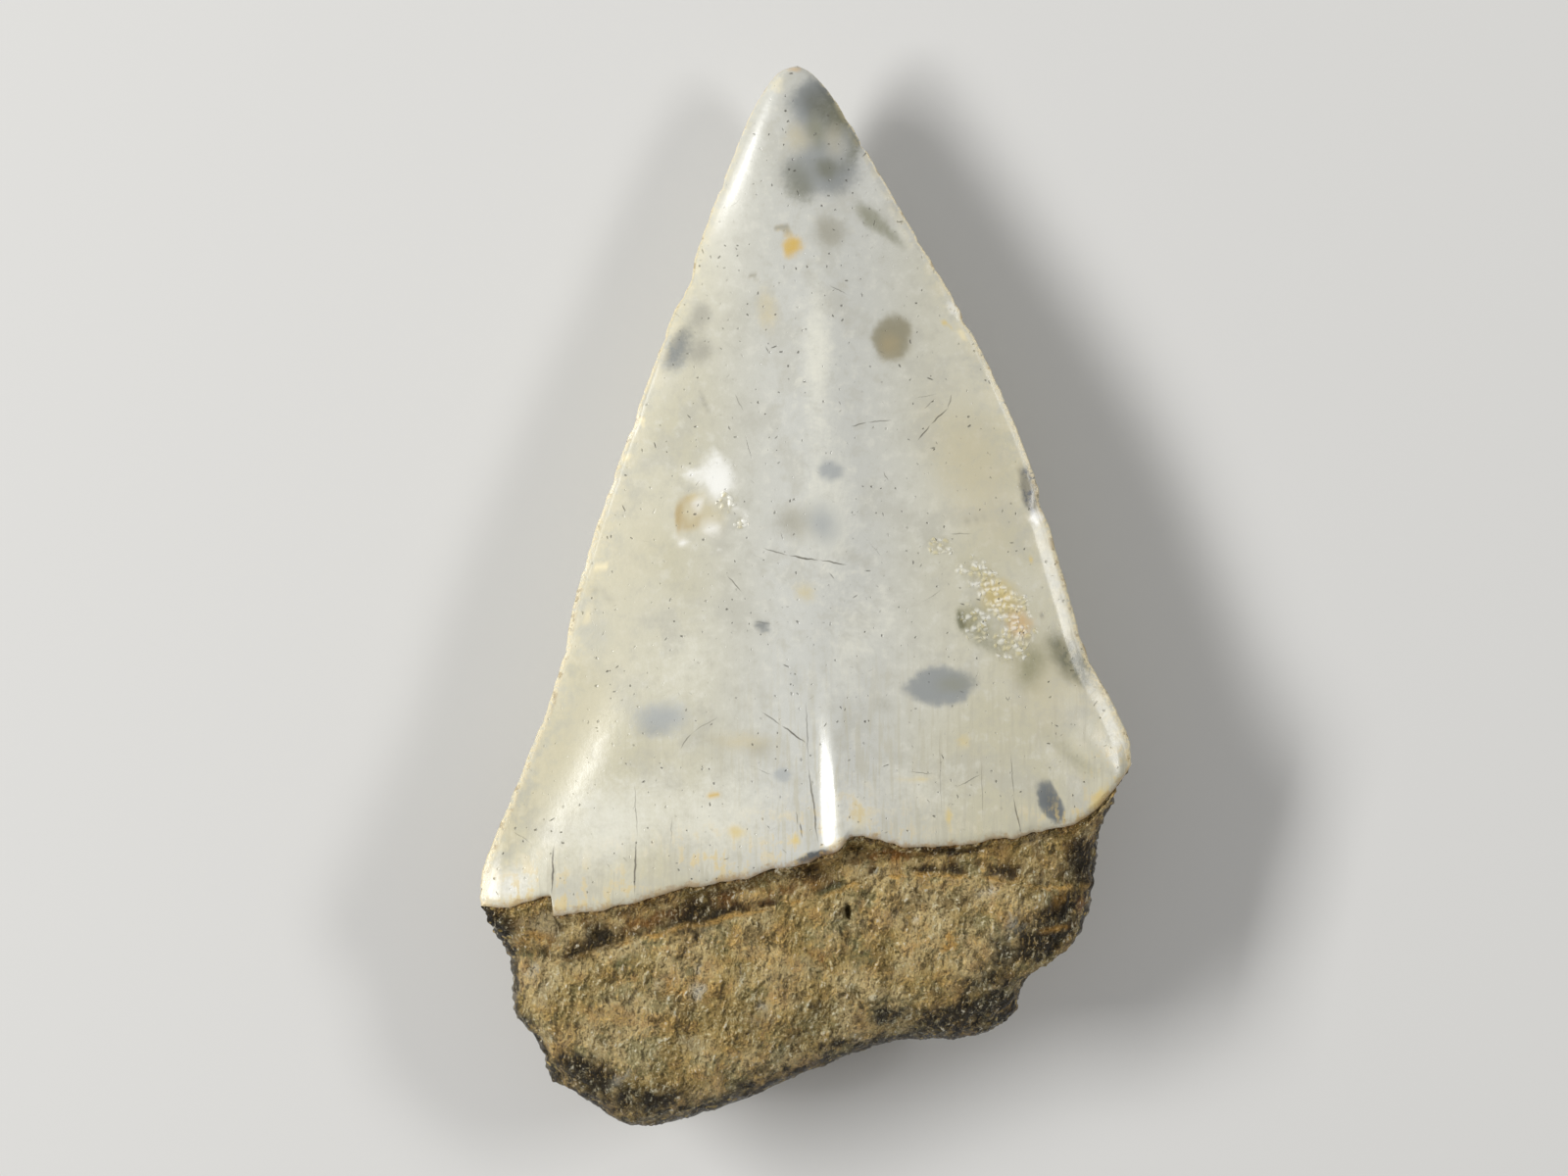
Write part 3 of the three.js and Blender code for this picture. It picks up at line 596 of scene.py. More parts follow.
# The pale chalky patches below are partly painted glints.
ROOT_PATCHES = [
    (-12.1, -13.1, 0.7, 1.0, 20, "soot", 1.0, 0.8),
    (-10.2, -12.8, 1.2, 0.7, 10, "clay", 0.9, 0.9),
    (-10.7, -13.5, 0.8, 0.35, 10, "ochre", 0.6, 0.9),
    (-11.0, -14.2, 0.8, 0.5, 20, "lichen", 0.5, 1.0),
    (-10.8, -14.9, 0.7, 0.4, 50, "chalk", 0.5, 1.0),
    (-10.3, -15.6, 0.9, 1.3, -20, "clay", 0.6, 1.0),
    (-8.4, -16.4, 2.2, 1.8, 0, "clay", 0.35, 1.0),
    (-7.9, -13.4, 0.9, 0.7, 0, "soot", 1.0, 0.8),
    (-8.9, -14.0, 1.1, 0.6, 40, "soot", 0.9, 1.0),
    (-4.3, -12.6, 2.0, 0.95, 20, "soot", 1.0, 1.0),
    (-3.1, -12.0, 0.5, 0.4, 0, "rust", 0.5, 1.0),
    (-6.0, -12.75, 1.4, 0.35, 14, "rust", 0.45, 1.0),
    (-6.9, -14.3, 1.2, 0.4, 12, "lichen", 0.5, 1.0),
    (-4.6, -15.2, 1.3, 0.9, 20, "ochre", 0.4, 1.0),
    (-2.0, -16.6, 2.2, 1.0, 0, "clay", 0.35, 1.0),
    (-4.9, -17.8, 1.6, 0.8, 0, "clay", 0.4, 1.0),
    (0.6, -14.4, 1.6, 1.2, 0, "rust", 0.3, 1.0),
    (1.35, -13.0, 0.25, 0.9, 0, "slate", 0.6, 1.0),
    (2.1, -14.0, 0.9, 0.9, 0, "lichen", 0.6, 1.0),
    (1.2, -11.6, 1.2, 0.3, 12, "lichen", 0.5, 1.0),
    (-1.0, -11.7, 1.8, 0.4, 12, "rust", 0.4, 1.0),
    (0.2, -10.9, 0.7, 0.3, 10, "soot", 0.6, 1.0),
    (3.4, -10.2, 1.2, 0.25, 0, "rust", 0.8, 0.9),
    (5.6, -10.0, 1.4, 0.2, 0, "soot", 0.8, 0.8),
    (5.9, -10.7, 1.0, 0.4, 10, "soot", 0.5, 1.0),
    (7.8, -10.8, 1.0, 0.4, 0, "soot", 0.8, 1.0),
    (8.8, -9.6, 1.4, 0.4, 10, "clay", 0.5, 1.0),
    (10.9, -10.3, 1.0, 1.2, 0, "soot", 1.0, 1.0),
    (7.3, -11.6, 0.9, 0.6, 0, "chalk", 0.4, 1.0),
    (8.1, -12.7, 0.9, 0.7, 30, "chalk", 0.4, 1.0),
    (4.3, -12.9, 0.35, 0.5, 20, "chalk", 0.5, 1.0),
    (5.2, -13.6, 1.8, 1.0, 10, "ochre", 0.4, 1.0),
    (10.1, -12.3, 1.8, 0.9, 20, "soot", 0.95, 1.0),
    (9.6, -13.6, 1.9, 0.8, 24, "soot", 0.95, 1.0),
    (10.0, -11.9, 0.5, 0.3, 60, "ochre", 0.5, 1.0),
    (9.9, -13.1, 0.8, 0.16, 12, "ochre", 0.8, 0.9),
    (10.9, -12.2, 0.3, 0.4, 0, "rust", 0.8, 0.9),
    (8.1, -13.9, 1.7, 1.2, 20, "soot", 0.75, 1.0),
    (7.5, -15.4, 1.8, 1.4, -10, "soot", 0.8, 1.0),
    (6.2, -16.6, 2.8, 1.0, 8, "soot", 1.0, 1.0),
    (3.2, -16.5, 1.8, 0.6, 12, "soot", 0.7, 1.0),
    (1.6, -17.6, 2.2, 0.35, 14, "soot", 0.6, 1.0),
    (-0.8, -18.8, 2.2, 0.4, 20, "coal", 0.4, 1.0),
    (-9.2, -18.4, 1.2, 0.5, -20, "soot", 0.85, 1.0),
    (-7.9, -19.0, 1.9, 1.2, -30, "soot", 0.75, 1.0),
    (-8.5, -19.5, 2.0, 0.6, -35, "soot", 0.8, 1.0),
    (-6.0, -19.9, 2.2, 0.9, -5, "soot", 0.8, 1.0),
    (-7.2, -18.9, 0.7, 0.2, 40, "chalk", 0.4, 1.0),
    (-10.9, -16.9, 0.4, 1.0, 20, "soot", 0.8, 1.0),
    (-4.15, -14.5, 0.25, 0.5, 0, "chalk", 0.6, 0.9),
    (-4.15, -15.6, 0.45, 0.5, 0, "chalk", 0.6, 1.0),
    (-5.85, -14.8, 0.35, 0.6, 10, "chalk", 0.5, 1.0),
    (-1.9, -16.0, 0.6, 0.3, 0, "chalk", 0.4, 1.0),
    (2.75, -15.8, 0.18, 0.2, 0, "cream", 0.9, 0.7),
    # A painted glint, in cream.
    (7.2, -15.4, 0.12, 0.14, 0, "cream", 0.9, 0.8),
]
STRAY = 0.16  # the stains' outlines wander by about this much
FINE_STRAY = 0.6  # share of that again, at a finer pitch
STRAY_SEED = 1  # without it the vector noise starts from the clock
BAND_STAIN = 0.4  # strength of the brown above the ledge
BAND_SHADOW = {"above": 0.22, "width": 0.2}
# The ochre line along the ledge's edge: its own colour, and partly a painted highlight.
LEDGE_LINE_STAIN = {"above": -0.03, "width": 0.09, "from": (-9.8, -8.6)}


def ellipse(place, halves, turn, softness, px, py):
    c, d = math.cos(math.radians(turn)), math.sin(math.radians(turn))
    along = ((px - place[0]) * c + (py - place[1]) * d) / halves[0]
    beside = ((py - place[1]) * c - (px - place[0]) * d) / halves[1]
    return 1 - smoothstep(np.hypot(along, beside), 1 - softness, 1 + 0.3 * softness)


def shade(red, green, blue):
    """A colour as it is seen, 0 to 255, as the shader's linear colour."""
    seen = [c / 255 for c in (red, green, blue)]
    linear = [c / 12.92 if c < 0.04045 else ((c + 0.055) / 1.055) ** 2.4 for c in seen]
    return (*linear, 1)


def stray_at(p, pitch, seed):
    return noise.noise_vector(Vector((p[0] / pitch, p[1] / pitch, seed)))[:2]


noise.seed_set(STRAY_SEED)
strays = np.array([stray_at(p, 0.9, 2.0) for p in own])
strays += FINE_STRAY * np.array([stray_at(p, 0.28, 5.0) for p in own])
stray_x, stray_y = (own[:, :2] + STRAY * strays).T
is_bone = grown_values[:, 0] > 0
faces_lip = smoothstep(grown_values[:, 2], 0.4, 0.6)
stain_colour = np.tile(shade(*TINTS["clay"])[:3], (len(own), 1))
stain_cover = np.full(len(own), 1e-4)


def lay_stain(mark, tint):
    """Lays one more mark over those already there: a stained patch, a painted shadow or a painted
    glint.
    """
    global stain_colour, stain_cover
    covered = stain_cover * (1 - mark) + mark
    share = (mark / covered)[:, None]
    stain_colour = lerp(stain_colour, np.array(shade(*TINTS[tint])[:3]), share)
    stain_cover = covered


ledge_off = own[:, 1] - ledge_height(own[:, 0])
ledge_patchy = np.clip(0.65 + 1.1 * wavering(own[:, 0], 0.7, 9.2), 0.15, 0.85)
ledge_patchy = ledge_patchy * smoothstep(own[:, 0], *LEDGE_LINE_STAIN["from"])
above_ledge = is_bone * faces_lip * smoothstep(ledge_off, 0.0, 0.12)
lay_stain(BAND_STAIN * above_ledge, "brown")
# A painted shadow in near-black, in a band just above the ledge.
shadow_patchy = np.clip(0.5 + 1.2 * wavering(own[:, 0], 0.7, 4.4), 0, 1)
shadow = bell((ledge_off - BAND_SHADOW["above"]) / BAND_SHADOW["width"])
lay_stain(shadow_patchy * above_ledge * shadow, "soot")
for stains, here in ((ENAMEL_STAINS, ~is_bone), (ROOT_PATCHES, is_bone)):
    for sx, sy, half_x, half_y, turn, tint, strength, softness in stains:
        mark = ellipse((sx, sy), (half_x, half_y), turn, softness, stray_x, stray_y)
        lay_stain(mark * strength * here * faces_lip, tint)
# The ochre line along the ledge's edge, partly a painted highlight where the edge would catch the
# light.
on_ledge = bell((ledge_off - LEDGE_LINE_STAIN["above"]) / LEDGE_LINE_STAIN["width"])
lay_stain(is_bone * faces_lip * ledge_patchy * on_ledge, "honey")

CRYSTALS = [  # x, y, half width, half height, turn: where the enamel turned to coarse crystals
    (-3.1, 3.6, 0.5, 0.4, 20), (-2.4, 2.9, 0.4, 0.3, 0),
    (6.9, 0.8, 1.1, 0.6, -30), (7.8, -0.3, 1.3, 0.9, -42), (8.2, -1.7, 0.9, 1.1, -20),
    (5.3, 2.0, 0.6, 0.3, -25), (6.7, -1.0, 0.7, 0.8, 0),
]
CRYSTAL_SOFTNESS = 0.7
crystal = np.zeros(len(own))
for cx, cy, half_x, half_y, turn in CRYSTALS:
    patch = ellipse((cx, cy), (half_x, half_y), turn, CRYSTAL_SOFTNESS, stray_x, stray_y)
    crystal = np.maximum(crystal, patch)
crystal = crystal * ~is_bone * faces_lip

stain_layer = tooth_data.color_attributes.new("stain", "FLOAT_COLOR", "POINT")
stain_layer.data.foreach_set("color", np.column_stack([stain_colour, stain_cover]).ravel())
crystal_layer = tooth_data.attributes.new("crystal", "FLOAT", "POINT")
crystal_layer.data.foreach_set("value", crystal)

# ---- tooth: enamel finish ----------------------------------------------------------------------
# Polished enamel, cream on the flanks and greyer along the crest, clouded and stained, with two
# painted glints among its stains. Patches of it have turned to packed pale crystals. It is finely
# pitted, scratched by use, cracked upwards from its lower edge and duller high up on the left.

SCRATCHES = [  # from, to, half width, darkness
    ((5.8, 8.0), (5.6, 7.3), 0.03, 0.55), ((5.65, 7.4), (4.9, 6.7), 0.04, 0.8),
    ((4.95, 6.75), (4.4, 6.05), 0.035, 0.75), ((4.6, 7.3), (5.2, 7.8), 0.03, 0.4),
    ((1.75, 6.65), (2.5, 6.82), 0.035, 0.65), ((2.4, 6.8), (3.5, 6.9), 0.03, 0.55),
    ((-1.7, 1.9), (-0.6, 1.55), 0.035, 0.6), ((-0.7, 1.58), (0.6, 1.4), 0.045, 0.85),
    ((0.5, 1.42), (1.7, 1.2), 0.035, 0.75), ((-3.1, 0.85), (-2.4, 0.1), 0.03, 0.6),
    ((-1.75, -4.5), (-0.9, -5.1), 0.035, 0.6), ((-0.95, -5.05), (0.1, -5.8), 0.045, 0.85),
    ((-4.9, -6.05), (-4.4, -5.3), 0.03, 0.55), ((-4.5, -5.4), (-3.3, -4.7), 0.03, 0.35),
    ((-0.2, -8.8), (-0.1, -9.5), 0.05, 0.7), ((-0.35, -8.4), (-0.25, -9.0), 0.03, 0.5),
    ((-2.75, 8.0), (-2.4, 7.2), 0.03, 0.4), ((2.6, 17.65), (2.25, 17.25), 0.05, 0.8),
    ((0.9, 18.95), (0.95, 18.8), 0.06, 0.6), ((3.1, 4.9), (3.3, 4.5), 0.03, 0.5),
    ((-6.7, -7.2), (-6.55, -9.6), 0.03, 0.45), ((-6.58, -9.4), (-6.7, -11.9), 0.05, 0.75),
    ((-9.86, -9.6), (-9.92, -11.9), 0.05, 0.85), ((8.1, -6.0), (8.2, -8.0), 0.03, 0.5),
    ((8.18, -7.8), (8.5, -9.4), 0.04, 0.7), ((0.05, -4.0), (0.15, -6.6), 0.035, 0.5),
    ((0.12, -6.4), (0.55, -9.9), 0.05, 0.7), ((-5.2, -8.6), (-5.25, -9.8), 0.03, 0.35),
    ((5.3, -5.2), (5.35, -8.8), 0.03, 0.25), ((6.9, -6.2), (7.0, -9.0), 0.03, 0.3),
]
ENAMEL_TINTS = {
    "crest": (199, 199, 191), "dark_flank": (198, 193, 168), "light_flank": (205, 201, 180),
    "veil": (184, 182, 169), "light_cloud": (219, 217, 204), "dark_cloud": (182, 179, 164),
    "growth_line": (188, 183, 162), "between_grains": (152, 144, 106),
    "white_grain": (240, 238, 226), "gold_grain": (208, 196, 146), "pit": (86, 82, 72),
    "crack": (74, 68, 54), "base_stain": (212, 188, 126), "crumb": (158, 124, 76),
    "near_edge": (224, 210, 166), "edge": (230, 214, 172), "edge_stain": (150, 128, 86),
}


class Wire:
    """A socket of a finish. Arithmetic on it adds Math nodes."""

    tree = None

    def __init__(self, socket):
        self.socket = socket

    @classmethod
    def node(cls, kind, settings=None, inputs=None, output=0):
        made = cls.tree.nodes.new(kind)
        for name, value in (settings or {}).items():
            setattr(made, name, value)
        for name, value in (inputs or {}).items():
            if isinstance(value, Wire):
                cls.tree.links.new(value.socket, made.inputs[name])
            else:
                made.inputs[name].default_value = value
        return Wire(made.outputs[output])

    def other(self, output):
        """Another output of this socket's node."""
        return Wire(self.socket.node.outputs[output])

    def maths(self, operation, other, flipped=False):
        first, second = (other, self) if flipped else (self, other)
        return Wire.node("ShaderNodeMath", {"operation": operation}, {0: first, 1: second})

    def __add__(self, other):
        return self.maths("ADD", other)

    __radd__ = __add__

    def __sub__(self, other):
        return self.maths("SUBTRACT", other)

    def __rsub__(self, other):
        return self.maths("SUBTRACT", other, flipped=True)

    def __mul__(self, other):
        return self.maths("MULTIPLY", other)

    __rmul__ = __mul__

    def size(self):
        return self.maths("ABSOLUTE", 0.0)

    def over(self, other):
        return self.maths("MAXIMUM", other)

    def smooth(self, low, high):
        """0 below low, 1 above high, eased between."""
        ends = {"Value": self, "From Min": low, "From Max": high}
        return Wire.node("ShaderNodeMapRange", {"interpolation_type": "SMOOTHSTEP"}, ends)


def vector(operation, first, second, output=0):
    return Wire.node("ShaderNodeVectorMath", {"operation": operation}, {0: first, 1: second}, output)


def stretched(point, scale):
    return vector("MULTIPLY", point, scale)


def cloud(point, scale, detail=2.0, rough=0.5, output=0, across="3D"):
    sockets = {"Vector": point, "Scale": scale, "Detail": detail, "Roughness": rough}
    return Wire.node("ShaderNodeTexNoise", {"noise_dimensions": across}, sockets, output)


def cells(point, scale, across="3D"):
    settings = {"voronoi_dimensions": across}
    return Wire.node("ShaderNodeTexVoronoi", settings, {"Vector": point, "Scale": scale})


def blend(amount, under, upper):
    return Wire.node("ShaderNodeMix", {"data_type": "RGBA"}, {0: amount, 6: under, 7: upper}, 2)


def washed(tints, under, **amounts):
    """A colour, or the tint of that name, with other tints laid over it in turn."""
    if isinstance(under, str):
        under = shade(*tints[under])
    for name, amount in amounts.items():
        under = blend(amount, under, shade(*tints[name]))
    return under


def parts(value):
    x_part = Wire.node("ShaderNodeSeparateXYZ", {}, {"Vector": value})
    return x_part, x_part.other("Y"), x_part.other("Z")


def stroke(point, start, end, half_width):
    """1 on the line from start to end, tapering to nothing at its tips and sides."""
    run = (end[0] - start[0], end[1] - start[1])
    half = math.hypot(*run) / 2
    middle = ((start[0] + end[0]) / 2, (start[1] + end[1]) / 2)
    along_axis = (run[0] / (2 * half * half), run[1] / (2 * half * half))
    beside_axis = (-run[1] / (2 * half * half_width), run[0] / (2 * half * half_width))
    offsets = []
    for axis in (along_axis, beside_axis):
        reach = vector("DOT_PRODUCT", point, (*axis, 0), "Value")
        offsets.append(reach - (axis[0] * middle[0] + axis[1] * middle[1]))
    along, beside = offsets
    return 1 - (along * along + beside * beside).smooth(0.1, 1.0)


def strewn_pits(point, pitch, half_length, half_width, missing):
    """Short dark pits, one to a cell, each turned its own way; a share of the cells has none."""
    place = stretched(point, (1 / pitch, 1 / pitch, 0))
    cell = cells(place, 1.0, "2D")
    turn, kind, length = parts(cell.other("Color"))
    away_x, away_y, _ = parts(vector("SUBTRACT", place, cell.other("Position")))
    cosine = (turn * math.tau).maths("COSINE", 0.0)
    sine = (turn * math.tau).maths("SINE", 0.0)
    along = (away_x * cosine + away_y * sine).size()
    beside = (away_y * cosine - away_x * sine).size()
    reach = half_length / pitch
    girth = half_width / pitch
    tapered = 1 - (along + 0.6 * reach - length * reach).smooth(0, reach)
    thin = 1 - beside.smooth(0.3 * girth, girth)
    return tapered * thin * kind.smooth(missing, missing + 0.35)


def new_finish(name):
    """A bare material and, in it, the place in millimetres, the grown attribute and that of stains
    and painted light.
    """
    made = bpy.data.materials.new(name)
    made.use_nodes = True
    Wire.tree = made.node_tree
    Wire.tree.nodes.clear()
    object_place = Wire.node("ShaderNodeTexCoord", output="Object")
    to_own = {
        "Vector": object_place,
        "Location": -(Matrix.Rotation(LYING_TILT, 3, "X") @ shift) / MM,
        "Rotation": (LYING_TILT, 0, 0),
        "Scale": (1 / MM, 1 / MM, 1 / MM),
    }
    place = Wire.node("ShaderNodeMapping", {}, to_own)
    grown_here = Wire.node("ShaderNodeAttribute", {"attribute_name": "grown"}, output="Vector")
    stain_here = Wire.node("ShaderNodeAttribute", {"attribute_name": "stain"}, output="Color")
    return made, place, grown_here, stain_here


def finished(colour, roughness, height, ior, coat):
    """Closes a finish with its shader and output."""
    bumped = Wire.node("ShaderNodeBump", {}, {"Distance": MM, "Height": height})
    sockets = {
        "Base Color": colour, "Roughness": roughness, "Normal": bumped, "IOR": ior,
        "Coat Weight": coat, "Coat Roughness": 0.12,
    }
    skin = Wire.node("ShaderNodeBsdfPrincipled", {}, sockets)
    output = Wire.tree.nodes.new("ShaderNodeOutputMaterial")
    Wire.tree.links.new(skin.socket, output.inputs["Surface"])


enamel_finish, own_place, grown_here, stain_here = new_finish("polished_enamel")
own_x, own_y, _ = parts(own_place)
below, out, lip = parts(grown_here)
wander = vector("SUBTRACT", cloud(own_place, 2.0, 2, 0.5, "Color", "2D"), (0.5, 0.5, 0.5))
strayed = vector("ADD", own_place, stretched(wander, (0.28, 0.28, 0)))
nearly_straight = vector("ADD", own_place, stretched(wander, (0.12, 0.12, 0)))
large_cloud = cloud(own_place, 0.2, 2, across="2D")
veil = cloud(own_place, 0.5, 4, 0.6, across="2D")
mottle = cloud(own_place, 1.7, 4, 0.65, across="2D")
streak = cloud(stretched(own_place, (4.5, 0.4, 1)), 1.0, 3, 0.6, across="2D")
grit = cloud(own_place, 7.0, 2, 0.6, across="2D")

enamel = washed(
    ENAMEL_TINTS,
    "dark_flank",
    light_flank=large_cloud.smooth(0.38, 0.62),
    crest=1 - (own_x - 0.7).size().smooth(1.0, 6.5),
    veil=veil.smooth(0.48, 0.68) * 0.5,
    light_cloud=mottle.smooth(0.5, 0.75) * 0.42,
    dark_cloud=(1 - mottle.smooth(0.3, 0.46)) * 0.3,
    growth_line=(1 - streak.smooth(0.36, 0.5)) * below.smooth(-11.0, -1.0) * 0.6,
)

stain_amount = stain_here.other("Alpha")
ragged = (stain_amount + 0.5 * mottle + 0.3 * grit - 0.4).smooth(0.08, 0.85)
cover = ragged * (0.45 + 0.55 * stain_amount) * stain_amount.smooth(0.02, 0.25)
lip_side = blend(cover, enamel, stain_here)

crystal_here = Wire.node("ShaderNodeAttribute", {"attribute_name": "crystal"}, output="Fac")
grains = cells(strayed, 4.5, "2D")
grain_kind, grain_tint, _ = parts(grains.other("Color"))
present = (grain_kind + 1.3 * crystal_here - 0.75).smooth(0, 0.5) * crystal_here.smooth(0.02, 0.3)
bead = (1 - (grains + 0.3 * mottle).smooth(0.2, 0.85)) * present
between = (1 - bead) * crystal_here * mottle.smooth(0.35, 0.5)
lip_side = washed(ENAMEL_TINTS, lip_side, between_grains=between * 0.4)
bead_tint = washed(ENAMEL_TINTS, "white_grain", gold_grain=grain_tint.smooth(0.4, 0.7))
lip_side = blend(bead * 0.65, lip_side, bead_tint)

pits = strewn_pits(strayed, 0.48, 0.055, 0.04, 0.4)
pits = pits.over(strewn_pits(own_place, 1.25, 0.13, 0.026, 0.4))
pits = pits.over(strewn_pits(nearly_straight, 3.1, 0.5, 0.02, 0.35) * 0.55)
pits = pits * (veil.smooth(0.38, 0.6) * 0.8 + 0.2)
cracked = None
for start, end, half_width, darkness in SCRATCHES:
    line = stroke(nearly_straight, start, end, half_width) * darkness
    cracked = line if cracked is None else cracked.over(line)
blotch = (0.6 * mottle + 0.4 * streak).smooth(0.5, 0.62)
base_stain = below.smooth(-3.2, -0.2) * blotch * large_cloud.smooth(0.3, 0.6)
crumbs = (below + 0.6 * mottle + 0.3 * grit - 0.45).smooth(-0.25, 0.02)
near_edge = out.size().smooth(0.84, 0.985) * mottle.smooth(0.42, 0.58)
at_edge = out.size().smooth(0.97, 0.992)
lip_side = washed(
    ENAMEL_TINTS,
    lip_side,
    pit=pits * 0.8,
    crack=cracked,
    base_stain=base_stain * 0.7,
    crumb=crumbs * 0.6,
    near_edge=near_edge * 0.3,
    edge=at_edge * grit.smooth(0.35, 0.55) * 0.7,
    edge_stain=at_edge * mottle.smooth(0.56, 0.66) * 0.6,
)
enamel_colour = blend(lip.smooth(0.4, 0.6), enamel, lip_side)
high_up = own_y.smooth(7.0, 11.0) * (1 - 0.85 * own_y.smooth(13.5, 16.5))
dulled = (0 - out).smooth(0.4, 0.8) * high_up

finished(
    colour=enamel_colour,
    roughness=0.2 + 0.12 * veil + 0.1 * grit + 0.2 * cracked + 0.25 * at_edge + 0.3 * dulled,
    height=0.012 * mottle - 0.03 * pits + 0.03 * bead + 0.03 * at_edge * grit,
    ior=1.6,
    coat=0.2 - 0.2 * dulled,
)
tooth_data.materials.append(enamel_finish)

# ---- tooth: root finish ------------------------------------------------------------------------
# Mineralised bone, brown with patches of olive and ochre. Its fibres run up and down, with a painted
# highlight, pale or gold, on the slopes facing one way and painted shade on those facing the other,
# as if lit from one side, painted shade in the hollows between them and painted glints on the
# steepest. A dark line under the enamel is painted shade with orange crumbs in it. The root's rim is
# crusted nearly black, partly as painted shade where it curves away, with beads of gold.

# The tints for the hollows and the slopes are painted shade and highlight, the last is for painted
# glints, and the dark crumb and crusting tints are partly painted shade.
ROOT_TINTS = {
    "dark_bone": (175, 150, 91), "light_bone": (201, 178, 126), "olive": (122, 119, 80),
    "ochre": (180, 138, 84), "dusk": (98, 79, 42), "shadow": (96, 78, 42),
    "dark_crumb": (58, 38, 18), "light_crumb": (172, 118, 58), "crust": (22, 18, 9),
    "hollow": (56, 42, 19), "dark_slope": (36, 28, 12), "pale_slope": (226, 214, 170),
    "gold_slope": (226, 188, 110), "gold_bead": (204, 176, 104), "glint": (236, 230, 210),
}
FIBRES_PER_MM = (3.4, 2.0, 3.0)
LUMPS_PER_MM = (1.7, 1.1, 1.5)
FLECKS_PER_MM = (4.6, 3.4, 4.0)
BEADS_PER_MM = (2.7, 4.6, 3.6)

root_finish, own_place, grown_here, stain_here = new_finish("mineralised_root")
below, out, _ = parts(grown_here)
hues = cloud(own_place, 0.8, 5, 0.75, output="Color")
bent = vector("ADD", own_place, stretched(hues, (0.7, 0.7, 0.7)))
leaning = Wire.node("ShaderNodeMapping", {}, {"Vector": bent, "Rotation": (0, 0, FIBRE_LEAN)})
# Noise sampled a little to one side; the differences paint relief light and shade, as if lit from
# one side.
beside = vector("ADD", leaning, (0.07, -0.05, 0.0))
fibre = cloud(stretched(leaning, FIBRES_PER_MM), 1.0, 5, 0.7)
fibre_beside = cloud(stretched(beside, FIBRES_PER_MM), 1.0, 5, 0.7)
lumpy = cloud(stretched(leaning, LUMPS_PER_MM), 1.0, 4, 0.6)
lumpy_beside = cloud(stretched(beside, LUMPS_PER_MM), 1.0, 4, 0.6)
# Painted relief light: above zero on the lit slopes of fibres and lumps, below zero on the shaded
# ones.
slope = fibre - fibre_beside + 0.8 * (lumpy - lumpy_beside)
fleck = cloud(stretched(leaning, FLECKS_PER_MM), 1.0, 3, 0.6)
olive, ochre, dusk = parts(hues)
tone = cloud(own_place, 0.45, 3, 0.6)
uneven = 1.8 * fibre + 1.8 * lumpy

root = washed(
    ROOT_TINTS,
    "dark_bone",
    light_bone=tone.smooth(0.4, 0.6),
    olive=olive.smooth(0.48, 0.6) * 0.65,
    ochre=ochre.smooth(0.5, 0.62) * 0.5,
    dusk=dusk.smooth(0.5, 0.62) * 0.7,
    shadow=(1 - tone.smooth(0.36, 0.5)) * 0.25,
)

stain_amount = stain_here.other("Alpha")
gritty_cover = (stain_amount + uneven + 0.9 * dusk - 2.35).smooth(0.1, 0.75)
covered = gritty_cover * stain_amount.smooth(0.0, 0.3)
root = blend(covered * 0.97, root, stain_here)
# A dark line just under the enamel: painted shade under its step, with orange crumbs in it.
under_enamel = 1 - (below + 0.6 * fleck + 0.3 * lumpy - 0.45).smooth(0.0, 0.2)
crumb = washed(ROOT_TINTS, "dark_crumb", light_crumb=fleck.smooth(0.48, 0.56))
root = blend(under_enamel * 0.75, root, crumb)

# The rim's near-black crusting: its own dark colour, and partly painted shade where the root curves
# away.
rim = out.size().smooth(0.94, 0.997).over(below.smooth(7.9, 9.2))
crust = (rim + uneven + 1.2 * tone - 2.55).smooth(0.15, 0.8) * rim.smooth(0.0, 0.3)
bare = 1 - 0.7 * crust.over(covered * stain_amount)
# Painted shade in the hollows between fibres and on their shaded slopes.
fibre_tops = fibre + 0.5 * lumpy - 0.25
root = washed(
    ROOT_TINTS,
    root,
    crust=crust * 0.93,
    hollow=(1 - fibre_tops.smooth(0.34, 0.48)) * 0.38,
    dark_slope=(0 - slope).smooth(0.01, 0.13) * 0.68,
)
# Painted highlight, pale or gold, on the lit slopes of the fibres.
lit_slope = washed(ROOT_TINTS, "pale_slope", gold_slope=ochre.smooth(0.42, 0.55))
root = blend(slope.smooth(0.015, 0.14) * bare * 0.85, root, lit_slope)

bead_cell = cells(stretched(own_place, BEADS_PER_MM), 1.0)
bead_kind, bead_girth, _ = parts(bead_cell.other("Color"))
gold = (1 - (bead_cell + 0.25 * bead_girth).smooth(0.3, 0.44)) * bead_kind.smooth(0.4, 0.5)
# Gold beads in the crusting, then painted glints on the most brightly lit slopes.
root = washed(
    ROOT_TINTS,
    root,
    gold_bead=gold * crust.over(0.5 * rim) * 0.85,
    glint=(slope + 0.3 * fleck).smooth(0.27, 0.36) * 0.8,
)

finished(
    colour=root,
    roughness=0.22,
    height=0.25 * fibre + 0.12 * fleck + 0.45 * lumpy,
    ior=1.32,
    coat=0.0,
)
tooth_data.materials.append(root_finish)

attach(fossil_tooth, "root")
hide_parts("tooth")

# ---- studio ------------------------------------------------------------------------------------
# A plain pale table under soft lamps: a large low one to the left, a weaker one to the right.

FLOOR_HALF = 1.5
TABLE_TINT = (214, 213, 210)
SKY_STRENGTH = 0.28
LAMPS = [  # name, place, length along the tooth, width, watts
    ("left_lamp", (-0.38, 0.08, 0.30), 0.30, 0.10, 2.3),
    ("right_lamp", (0.36, 0.11, 0.36), 0.20, 0.10, 0.75),
]

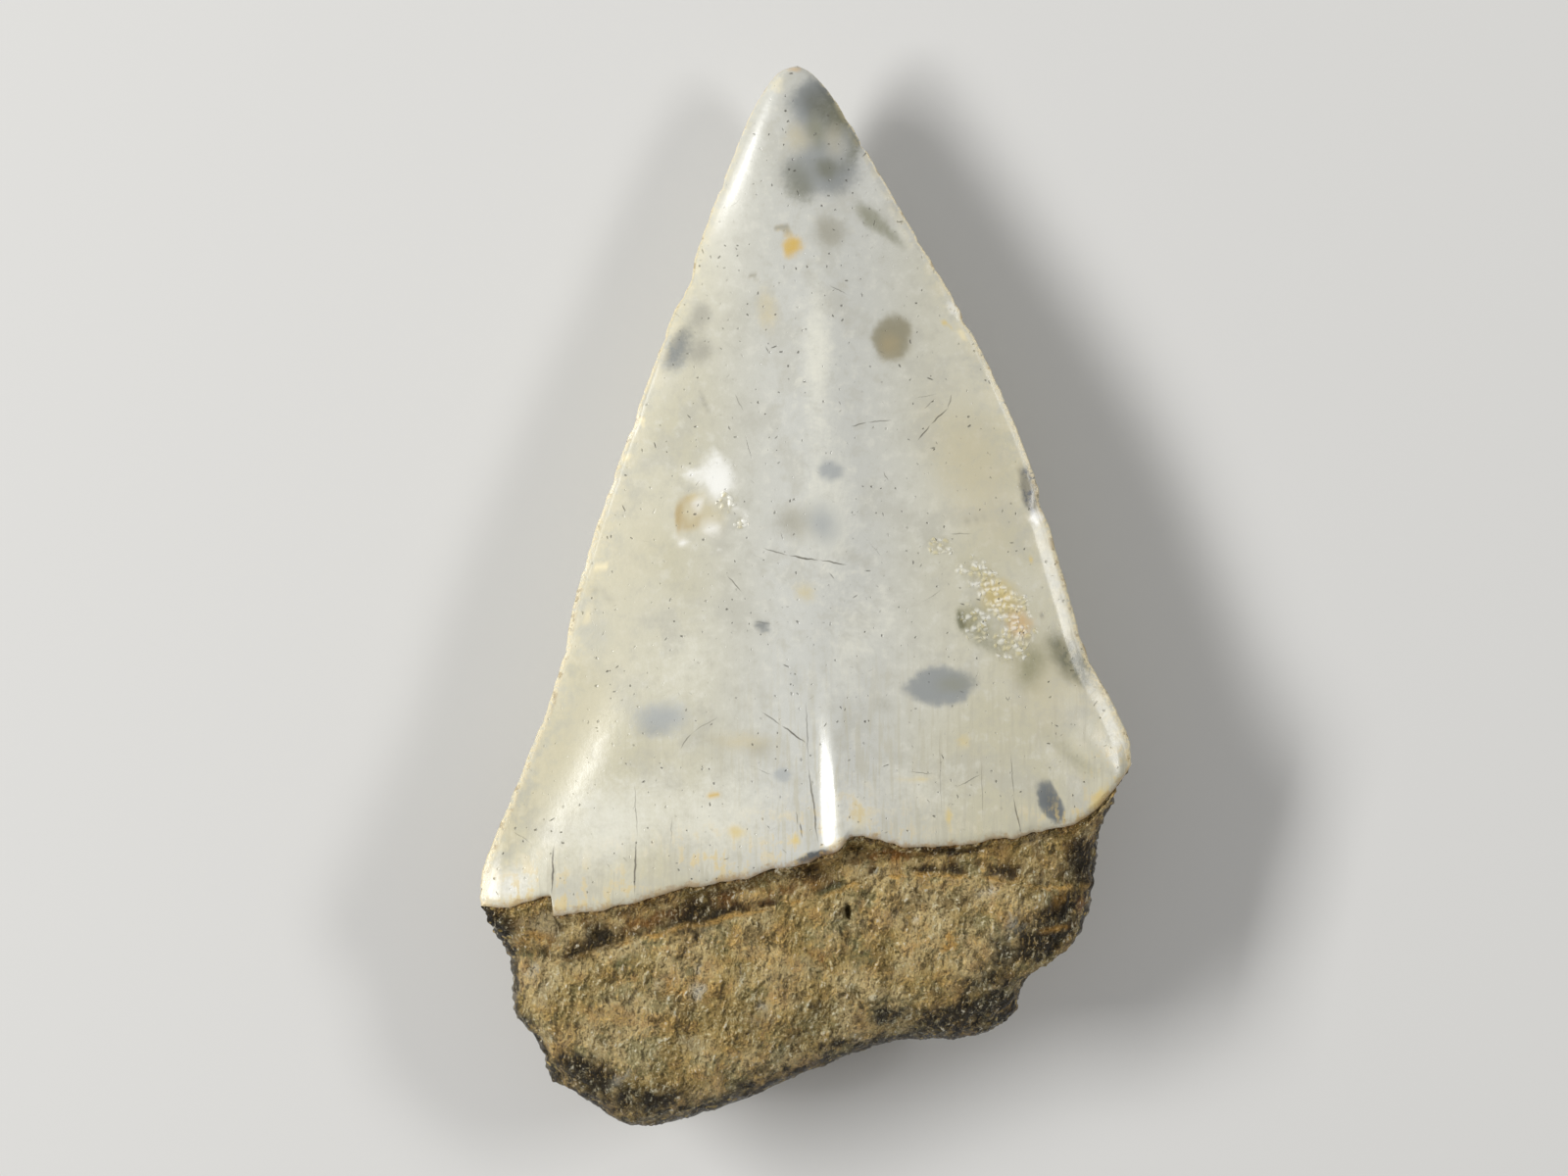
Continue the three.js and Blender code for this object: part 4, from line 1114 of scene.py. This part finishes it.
floor_mesh = bmesh.new()
bmesh.ops.create_grid(floor_mesh, x_segments=1, y_segments=1, size=FLOOR_HALF)
floor_data = bpy.data.meshes.new("table")
floor_mesh.to_mesh(floor_data)
floor_mesh.free()
table = bpy.data.objects.new("table", floor_data)
bpy.context.scene.collection.objects.link(table)
table_finish = bpy.data.materials.new("pale_table")
table_finish.use_nodes = True
table_shader = table_finish.node_tree.nodes["Principled BSDF"]
table_shader.inputs["Base Color"].default_value = shade(*TABLE_TINT)
table_shader.inputs["Roughness"].default_value = 0.8
floor_data.materials.append(table_finish)

world = bpy.data.worlds.new("studio")
bpy.context.scene.world = world
world.use_nodes = True
world.node_tree.nodes["Background"].inputs["Color"].default_value = (1, 1, 1, 1)
world.node_tree.nodes["Background"].inputs["Strength"].default_value = SKY_STRENGTH

for lamp_name, place, lamp_length, lamp_width, watts in LAMPS:
    lamp_data = bpy.data.lights.new(lamp_name, "AREA")
    lamp_data.shape = "RECTANGLE"
    lamp_data.size = lamp_length
    lamp_data.size_y = lamp_width
    lamp_data.energy = watts
    lamp = bpy.data.objects.new(lamp_name, lamp_data)
    lamp.location = place
    lamp.rotation_euler = (-Vector(place)).to_track_quat("-Z", "Y").to_euler()
    bpy.context.scene.collection.objects.link(lamp)

# ---- camera ------------------------------------------------------------------------------------
# Square on to the lip side, with the tip up.

VIEW_WIDTH = 61.54 * MM
VIEW_MIDDLE = Vector((-0.81, 0.31, 0.8)) * MM
DISTANCE = 0.30
SENSOR_WIDTH = 36
camera_data = bpy.data.cameras.new("camera")
camera_data.sensor_width = SENSOR_WIDTH
camera_data.lens = SENSOR_WIDTH * DISTANCE / VIEW_WIDTH
camera_data.clip_start = 0.01
camera = bpy.data.objects.new("camera", camera_data)
camera.location = LAID_DOWN @ (VIEW_MIDDLE + Vector((0, 0, DISTANCE))) + shift
camera.rotation_euler = LAID_DOWN.to_euler()
bpy.context.scene.collection.objects.link(camera)
bpy.context.scene.camera = camera
bpy.context.scene.view_settings.view_transform = "Standard"
